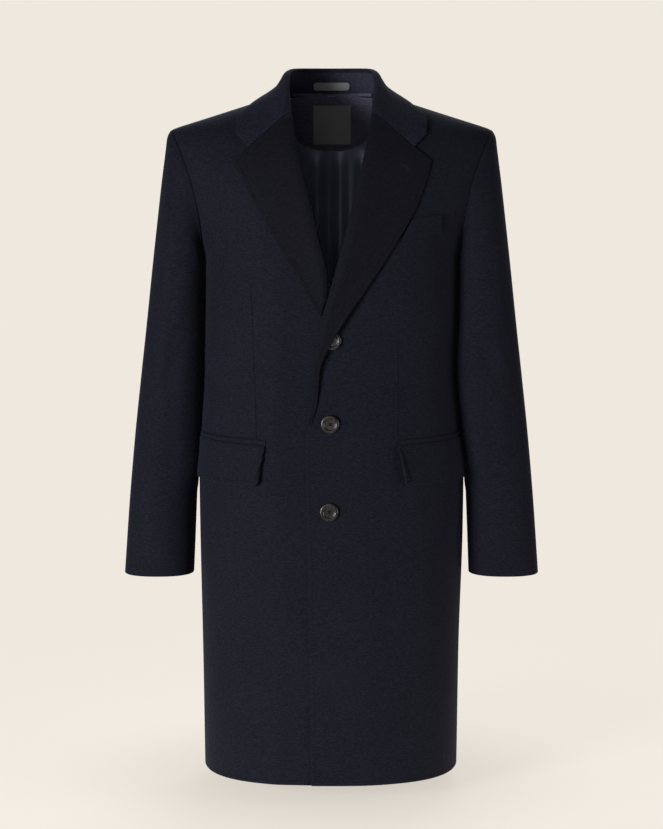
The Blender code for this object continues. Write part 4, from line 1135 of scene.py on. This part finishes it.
# %% Flaps and jets
FLAP_TOP, FLAP_DEEP, FLAP_DROP = -0.487, 0.058, 0.004
FLAP_FRONT_X, FLAP_SLANT, FLAP_SIDE_Y, FLAP_CORNER = 0.092, 0.007, -0.045, 0.010
FLAP_CLOTH, FLAP_FLARE, JET_DEEP, JET_CLOTH = 0.0022, 0.0034, 0.005, 0.0012
END_OPEN = 0.022           # the front end's lift fades over this length
FLAP_SEAM_DEEP = 2.2       # a flap's top seam sinks this many times as far as others
FLAP_ARC = 300             # points on each section that a flap follows


def pocket_surface(side, top, drop, lift, share_down, share_round, slant=0.0, flare=0.0, corner=0.0):
    """A strip on the body's own sections, from its front end round to the side.

    Its lower front corner is a quarter circle: the lower edge rises by the radius less the
    root of the radius squared less the square of what is left of it along the edge. It
    stands off more towards its lower edge, and more again, by a falling power of e, at its
    front end.
    """
    down = share_down[:, None]
    z = top - drop * down
    half, shift, depth = (along(BODY, name, z) for name in ("half_width", "shift", "front"))
    start = np.arcsin(((FLAP_FRONT_X + slant * down - side * shift) / half) ** (ROUNDNESS / 2))
    end = np.arccos((abs(FLAP_SIDE_Y) / depth) ** (ROUNDNESS / 2))
    turn = start + (end - start) * np.linspace(0, 1, FLAP_ARC)
    x, y = evenly(share_round, half * power(np.sin(turn), ROUNDNESS),
                  depth * power(np.cos(turn), ROUNDNESS))
    left_over = np.hypot(x - x[:, :1], y - y[:, :1])
    left = np.maximum(corner - left_over, 0)
    z = z - FLAP_DROP * (1 - share_round) + down * (corner - np.sqrt(corner ** 2 - left ** 2))
    points = np.stack([side * x + shift, -y, z], -1)
    away = lift + flare * (down ** 1.5 + down ** 0.5 * np.exp(-left_over / END_OPEN))
    return points + outward(points) * away[..., None]


share_round = steps(80, length=0.15)
for side, word in ((1, "left"), (-1, "right")):
    points = pocket_surface(side, FLAP_TOP, FLAP_DEEP, LAY_GAP + FLAP_CLOTH, steps(40, FLAP_DEEP),
                            share_round, FLAP_SLANT, FLAP_FLARE, FLAP_CORNER)
    piece = shell(f"cloth_flap_{word}", points, FLAP_CLOTH, [WOOL], ("first", "last", "high"),
                  seam_deep=FLAP_SEAM_DEEP)
    declare(piece, [f"flap_{word}"])
    points = pocket_surface(side, FLAP_TOP + JET_DEEP + LAY_GAP, JET_DEEP, LAY_GAP + JET_CLOTH,
                            steps(6, JET_DEEP), share_round)
    piece = shell(f"cloth_jet_{word}", points, JET_CLOTH, [WOOL_PLAIN], ALL_ROUND)
    declare(piece, [f"jet_{word}"])

# %% Breast welt
WELT = table(
    "row top_x top_z low_x low_z",
    (0, 0.1105, -0.1790, 0.0955, -0.2090),
    (1, 0.1310, -0.1752, 0.1240, -0.2035),
    (2, 0.1530, -0.1712, 0.1520, -0.1980),
)
WELT_CLOTH, WELT_GAP = 0.0020, 0.0010
on_front = tree_of(fronts["left"])
top_x, top_z, low_x, low_z = (along(WELT, name, np.linspace(0, 2, 9)) for name in list(WELT)[1:])
net = [[lay(on_front, x, z, WELT_GAP + WELT_CLOTH)
        for x, z in zip(top_x + (low_x - top_x) * share, top_z + (low_z - top_z) * share)]
       for share in np.linspace(0, 1, 4)]
points = finer(net, rows=24, cols=40, high=0.03, wide=0.05)
piece = shell("cloth_breast_welt", points, WELT_CLOTH, [WOOL_PLAIN], ALL_ROUND)
declare(piece, ["breast_welt"])


# %% [markdown]
# ## Inside the neck
#
# The back of a coat is lined with satin, pleated down its middle so that the arms can reach
# forward. A wool facing covers its top, and carries a woven label, left blank, with a small
# blank tab above it on the stand. They are laid with rays on what is behind them, and the
# folds of the lining are bell curves.

# %% Lining, facing and label
LINING_HALF, LINING_TOP, LINING_LOW, LINING_CURVE = 0.110, -0.030, -0.360, 0.012
LINING_FOLDS = table(
    "x z x_end z_end wide high",
    (-0.058, -0.40, -0.056, -0.02, 0.013, 0.0046),
    (-0.022, -0.40, -0.021, -0.02, 0.013, 0.0060),
    (0.014, -0.40, 0.013, -0.02, 0.010, 0.0050),
    (0.048, -0.40, 0.047, -0.02, 0.012, 0.0056),
    (0.082, -0.40, 0.080, -0.02, 0.012, 0.0040),
)
PLEAT_DEEP, PLEAT_EDGE = 0.0016, 0.0011
FOLDS_TOP, FOLDS_FADE, FOLDS_SIDE = -0.072, 0.032, 0.030
FACING_HALF, FACING_TOP, FACING_LOW, FACING_ROUND = 0.060, -0.0100, -0.080, 2.2
FACING_TOP_DROP, FACING_LOW_RISE, FACING_GAP = 0.0030, 0.040, 0.0011
FACING_OVER_SEAM, FACING_OFF_STAND = 0.0012, 0.0012
LABEL_TOP, LABEL_SHIFT, LABEL_WIDE, LABEL_DEEP, LABEL_GAP = -0.0145, 0.0010, 0.055, 0.0560, 0.0010
TAPE_CLOTH = 0.0006
OFF_SEAM = 0.001           # a ray at the middle of the back is moved off the seam there by this
LAY_DOWN = 0.001           # and one over the back's top edge is moved down by this


def inner_net(tree, xs, rows, lift):
    """Points on the inner face of what is behind, moved towards the middle of the coat by lift,
    which may be a number for each row."""
    net = []
    for z_row, up in zip(rows, np.broadcast_to(lift, len(rows))):
        line = [lay(tree, x if abs(x) > OFF_SEAM else OFF_SEAM, z, up, start=0.0, down=LAY_DOWN)
                for x, z in zip(xs, np.broadcast_to(z_row, len(xs)))]
        net.append([(x, y, z) for x, (_, y, z) in zip(xs, line)])
    return np.array(net)


def between(top, low, count, exponent):
    """Rows of heights from top to low, closer together at the top."""
    return [top + (low - top) * share for share in np.linspace(0, 1, count) ** exponent]


def lining_folds(points):
    """Soft upright folds, and the centre pleat: the narrow groove where it turns under. All
    fade out under the facing, and towards the seams at the sides."""
    x, z = points[..., 0], points[..., 2]
    folds = soft_folds(x, z, LINING_FOLDS) - PLEAT_DEEP * np.exp(-(x / PLEAT_EDGE) ** 2)
    return folds * smooth((FOLDS_TOP - z) / FOLDS_FADE) * smooth((LINING_HALF - np.abs(x)) / FOLDS_SIDE)


inside_back = tree_of(*backs.values())
under = LAY_GAP + THIN_CLOTH
xs = np.linspace(-LINING_HALF, LINING_HALF, 23)
top = LINING_TOP - LINING_CURVE * (xs / LINING_HALF) ** 2
net = inner_net(inside_back, xs, between(top, LINING_LOW, count=12, exponent=1.4), under)
points = finer(net, rows=70, cols=190, high=0.33, wide=0.22)
piece = shell("satin_back_lining", points + outward(points) * THIN_CLOTH, THIN_CLOTH, [SATIN],
              ALL_ROUND, relief=-lining_folds(points))
declare(piece, ["back_lining"])

xs = np.linspace(-FACING_HALF, FACING_HALF, 13)
rounding = 1 - (1 - np.abs(xs / FACING_HALF) ** FACING_ROUND) ** (1 / FACING_ROUND)
rows = between(FACING_TOP - FACING_TOP_DROP * (xs / FACING_HALF) ** 2,
               FACING_LOW + FACING_LOW_RISE * rounding, count=10, exponent=1.2)
net = inner_net(inside_back, xs, rows, under + FACING_GAP + THIN_CLOTH)
seam = collar_line("seam", np.interp(np.abs(xs), COLLAR["seam_x"][:3], COLLAR["row"][:3]))
seam[:, 0] = xs
inward = seam * (1, 1, 0) + (0, NECK_CENTRE, 0)
inward /= -np.linalg.norm(inward, axis=1, keepdims=True)
top_row = seam + inward * (STAND_CLOTH + FACING_OFF_STAND) + (0, 0, FACING_OVER_SEAM)
net = np.concatenate([top_row[None], net])
points = finer(net, rows=60, cols=80, high=0.07, wide=0.10)
piece = shell("cloth_neck_facing", points + outward(points) * THIN_CLOTH, THIN_CLOTH,
              [WOOL_FACING_PAINTED_LIGHT], ("high",))
facing_piece = declare(piece, ["neck_facing"])

xs = np.linspace(-LABEL_WIDE / 2, LABEL_WIDE / 2, 7) + LABEL_SHIFT
rows = between(LABEL_TOP, LABEL_TOP - LABEL_DEEP, count=7, exponent=1.2)
net = inner_net(tree_of(facing_piece), xs, rows, LABEL_GAP + TAPE_CLOTH)
points = finer(net, rows=40, cols=40, high=0.05, wide=0.055)
piece = shell("tape_neck_label", points + outward(points) * TAPE_CLOTH, TAPE_CLOTH, [TAPE], ALL_ROUND)
declare(piece, ["neck_label"])

# %% Tab on the collar stand, with round ends
TAB_TOP, TAB_WIDE, TAB_DEEP, TAB_ROUND = 0.0175, 0.052, 0.0115, 0.0040
on_stand = tree_of(stand_piece)
net = []
for z in np.linspace(TAB_TOP, TAB_TOP - TAB_DEEP, 9):
    near = max(TAB_ROUND - min(TAB_TOP - z, z - TAB_TOP + TAB_DEEP), 0)
    half = TAB_WIDE / 2 - TAB_ROUND + math.sqrt(max(TAB_ROUND ** 2 - near ** 2, 0))
    net.append(inner_net(on_stand, np.linspace(-half, half, 9), [z], LAY_GAP + TAPE_CLOTH)[0])
points = finer(net, rows=20, cols=60, high=TAB_DEEP, wide=TAB_WIDE)
piece = shell("tape_neck_tab", points + outward(points) * TAPE_CLOTH, TAPE_CLOTH, [TAPE], ALL_ROUND)
declare(piece, ["neck_tab"])


# %% [markdown]
# ## Buttons and buttonholes
#
# A horn button is turned on a lathe, so its face is a profile of radius and height swept
# round. The four holes go right through, and thread crosses between them. Each button sits
# at the end of a buttonhole, whose edge is a tight row of stitches: a tube along a long
# narrow loop, laid on the cloth.

# %% Buttons
BUTTONS = ((0.0007, -0.346), (-0.0021, -0.4615), (-0.0034, -0.583))
BUTTON_R, BUTTON_THICK, SHANK_R, SHANK_LONG, SEAM_GAP = 0.0127, 0.0038, 0.0022, 0.0012, 0.0003
BUTTON_PROFILE = table(
    # radius and height as shares of the button's radius and half its thickness
    "step radius height",
    (0, 0.00, 0.30), (1, 0.30, 0.30), (2, 0.50, 0.30), (3, 0.58, 0.36), (4, 0.64, 0.62), (5, 0.70, 0.92),
    (6, 0.78, 1.00), (7, 0.88, 0.96), (8, 0.95, 0.78), (9, 1.00, 0.36), (10, 1.00, -0.20), (11, 0.97, -0.55),
    (12, 0.86, -0.90), (13, 0.50, -1.00), (14, 0.00, -1.00),
)
DRILL_OUT, DRILL_R, DRILLED_AT = 0.0021, 0.00085, (40, 130, 220, 310)      # in degrees
RIM_ANGLE = math.radians(40)
THREAD_R, THREAD_RISE, PLIES, PLY_APART = 0.00042, 0.0006, 3, 1.5
THREAD_POINTS, THREAD_PAST, THREAD_DIP, CROSS_RISE = 26, 0.02, 0.0014, 0.0003
WIND_TURNS, WIND_SHARE, WIND_R, WIND_POINTS = 4.5, 0.7, 0.00045, 120
DRILL_SIDES, THREAD_SIDES, PURL_SIDES = 20, 8, 10
LEAN = 1e-5                # a path along the axis leans by this, so that its tube has a side


def closed_object(name, points, faces, material):
    """A smooth closed object from points and faces, with every face turned outward."""
    mesh = bpy.data.meshes.new(name)
    mesh.from_pydata(points.tolist(), [], faces)
    mesh.materials.append(material)
    mesh.polygons.foreach_set("use_smooth", np.ones(len(mesh.polygons), bool))
    work = bmesh.new()
    work.from_mesh(mesh)
    bmesh.ops.recalc_face_normals(work, faces=work.faces)
    work.to_mesh(mesh)
    work.free()
    return put(name, mesh)


def wrapped(rows, cols):
    """Vertex numbers of a grid whose last column is its first again."""
    index = np.arange(rows * cols).reshape(rows, cols)
    return np.concatenate([index, index[:, :1]], 1)


def lathe(name, centre, profile, rings, turns, material):
    """A profile swept round an axis along -Y: x and z go round with the radius, y is the height."""
    at = np.linspace(0, len(profile["step"]) - 1, rings)
    radius = along(profile, "radius", at) * BUTTON_R
    height = along(profile, "height", at) * BUTTON_THICK / 2
    turn = np.arange(turns) * 2 * math.pi / turns
    inner = np.maximum(radius[1:-1], 1e-5)[:, None]
    ring = np.stack([centre[0] + inner * np.cos(turn), centre[1] - height[1:-1, None] + 0 * turn,
                     centre[2] + inner * np.sin(turn)], -1).reshape(-1, 3)
    tips = [(centre[0], centre[1] - height[end], centre[2]) for end in (0, -1)]
    index = wrapped(rings - 2, turns)
    front = [(len(ring), int(a), int(b)) for a, b in zip(index[0, 1:], index[0, :-1])]
    rear = [(len(ring) + 1, int(a), int(b)) for a, b in zip(index[-1, :-1], index[-1, 1:])]
    faces = grid_faces(index).tolist() + front + rear
    return closed_object(name, np.concatenate([ring, tips]), faces, material)


def tube(name, path, radius, around_it, material, closed=False, flat=1.0, ripple=0.0, ripples=0):
    """A tube along a path. Its ring lies across the path, flattened, and may ripple along it."""
    path = np.asarray(path, float)
    ahead = np.roll(path, -1, 0) - np.roll(path, 1, 0) if closed else np.gradient(path, axis=0)
    ahead /= np.linalg.norm(ahead, axis=1, keepdims=True)
    side = np.cross(ahead, (0.0, -1.0, 0.0))
    side /= np.linalg.norm(side, axis=1, keepdims=True) + 1e-9
    up = np.cross(side, ahead)
    turn = np.arange(around_it) * 2 * math.pi / around_it
    wave = 1 + ripple * np.cos(2 * math.pi * ripples * np.arange(len(path)) / len(path))
    size = (radius * wave)[:, None, None]
    cos, sin = np.cos(turn)[None, :, None], np.sin(turn)[None, :, None]
    ring = path[:, None] + size * (cos * side[:, None] + flat * sin * up[:, None])
    index = wrapped(len(path), around_it)
    if closed:
        faces = grid_faces(np.concatenate([index, index[:1]], 0)).tolist()
    else:
        faces = grid_faces(index).tolist() + index[[0, -1], :-1].tolist()
    return closed_object(name, ring.reshape(-1, 3), faces, material)


def join(name, pieces):
    """One object from several, by adding their meshes together."""
    work = bmesh.new()
    for piece in pieces:
        work.from_mesh(piece.data)
    mesh = bpy.data.meshes.new(name)
    work.to_mesh(mesh)
    work.free()
    mesh.materials.append(pieces[0].data.materials[0])
    for piece in pieces:
        bpy.data.objects.remove(piece)
    return put(name, mesh)


def drilled(disc, x, y, z):
    """The disc with its four holes cut through it, along its axis."""
    drills = []
    for dx, dz in HOLES:
        line = [(x + dx + LEAN * k, y + t, z + dz)
                for k, t in enumerate(np.linspace(-BUTTON_THICK, BUTTON_THICK, 4))]
        drills.append(tube("drill", line, DRILL_R, DRILL_SIDES, HORN))
    cutter = join("drills", drills)
    cut = disc.modifiers.new("holes", "BOOLEAN")
    cut.operation, cut.solver, cut.object = "DIFFERENCE", "EXACT", cutter
    made = bpy.data.meshes.new_from_object(disc.evaluated_get(bpy.context.evaluated_depsgraph_get()))
    disc.modifiers.clear()
    disc.data = made
    made.set_sharp_from_angle(angle=RIM_ANGLE)
    bpy.data.objects.remove(cutter)
    return disc


def crossing(one, other, x, y, z, higher):
    """Plies side by side from one hole to another: an arc over the face that dips in at its ends."""
    (ax, az), (bx, bz) = one, other
    long = math.hypot(bx - ax, bz - az)
    t = np.linspace(-THREAD_PAST, 1 + THREAD_PAST, THREAD_POINTS)
    rise = THREAD_RISE * np.sin(math.pi * np.clip(t, 0, 1)) ** 0.6 + higher
    deep = np.where((t < 0) | (t > 1), THREAD_DIP, 0.0)
    share = np.clip(t, THREAD_PAST, 1 - THREAD_PAST)
    made = []
    for ply in range(PLIES):
        off = (ply - (PLIES - 1) / 2) * THREAD_R * PLY_APART
        px, pz = -(bz - az) / long * off, (bx - ax) / long * off
        line = np.stack([x + ax + (bx - ax) * share + px, y - rise + deep,
                         z + az + (bz - az) * share + pz], -1)
        line[0, 0] += LEAN
        made.append(tube("ply", line, THREAD_R, THREAD_SIDES, THREAD))
    return made


def wound(x, y, z):
    """Thread wound round the shank, from the cloth out to the disc."""
    t = np.linspace(0, 1, WIND_POINTS)
    wind = 2 * math.pi * WIND_TURNS * t
    line = np.stack([x + SHANK_R * WIND_SHARE * np.cos(wind), y - (SEAM_GAP + SHANK_LONG * t),
                     z + SHANK_R * WIND_SHARE * np.sin(wind)], -1)
    return tube("shank", line, WIND_R, THREAD_SIDES, THREAD)


HOLES = [(DRILL_OUT * math.cos(a), DRILL_OUT * math.sin(a)) for a in np.radians(DRILLED_AT)]
for number, (x, z) in enumerate(BUTTONS, 1):
    seat_y = lay(on_front, x, z, 0.0)[1]
    centre = (x, seat_y - SEAM_GAP - SHANK_LONG - BUTTON_THICK / 2, z)
    disc = lathe(f"button_disc_{number}", centre, BUTTON_PROFILE, rings=48, turns=72, material=HORN)
    disc = drilled(disc, *centre)
    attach(disc, "root")
    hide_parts(f"button_{number}")
    face_y = centre[1] - BUTTON_PROFILE["height"][0] * BUTTON_THICK / 2
    strands = [*crossing(HOLES[0], HOLES[2], x, face_y, z, 0.0),
               *crossing(HOLES[1], HOLES[3], x, face_y, z, CROSS_RISE), wound(x, seat_y, z)]
    sewn_on = join(f"button_thread_{number}", strands)
    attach(sewn_on, "root")

# %% Buttonholes: at each button, and one on the lapel
HOLE_LONG, HOLE_HALF, HOLE_PAST = 0.0260, 0.0012, 0.003     # it starts this far past the button's middle
LOOP_SIDES, LOOP_ENDS, LOOP_POINTS = 12.0, 2.6, 220        # exponents that square and round the loop
PURL_R, PURL_APART, PURL_FLAT, PURL_RIPPLE, PURL_LIFT = 0.00085, 0.0007, 0.55, 0.16, 0.00015
LAPEL_HOLE = ((0.0960, -0.1010), math.radians(-38.0), 0.0195)


def buttonhole(name, tree, start, angle, long):
    """A narrow loop of purl stitches round a slit, laid on the cloth."""
    turn = np.linspace(0, 2 * math.pi, LOOP_POINTS, endpoint=False)
    u = long / 2 + (long / 2 - HOLE_HALF) * power(np.cos(turn), LOOP_SIDES) + HOLE_HALF * np.cos(turn)
    v = HOLE_HALF * power(np.sin(turn), LOOP_ENDS)
    way = np.array((math.cos(angle), math.sin(angle)))
    across = np.array((-way[1], way[0]))
    places = np.array(start)[None] + u[:, None] * way + v[:, None] * across
    line = np.array([lay(tree, px, pz, PURL_LIFT) for px, pz in places])
    run = np.linalg.norm(np.roll(line, -1, 0) - line, axis=1).sum()
    made = tube(name, line, PURL_R, PURL_SIDES, THREAD, closed=True, flat=PURL_FLAT,
                ripple=PURL_RIPPLE, ripples=int(run / PURL_APART))
    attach(made, "root")


for number, (x, z) in enumerate(BUTTONS, 1):
    buttonhole(f"buttonhole_{number}", on_front, (x - HOLE_PAST, z), 0.0, HOLE_LONG)
buttonhole("buttonhole_lapel", tree_of(lapels["left"]), *LAPEL_HOLE)
print("3 buttons and 4 buttonholes")
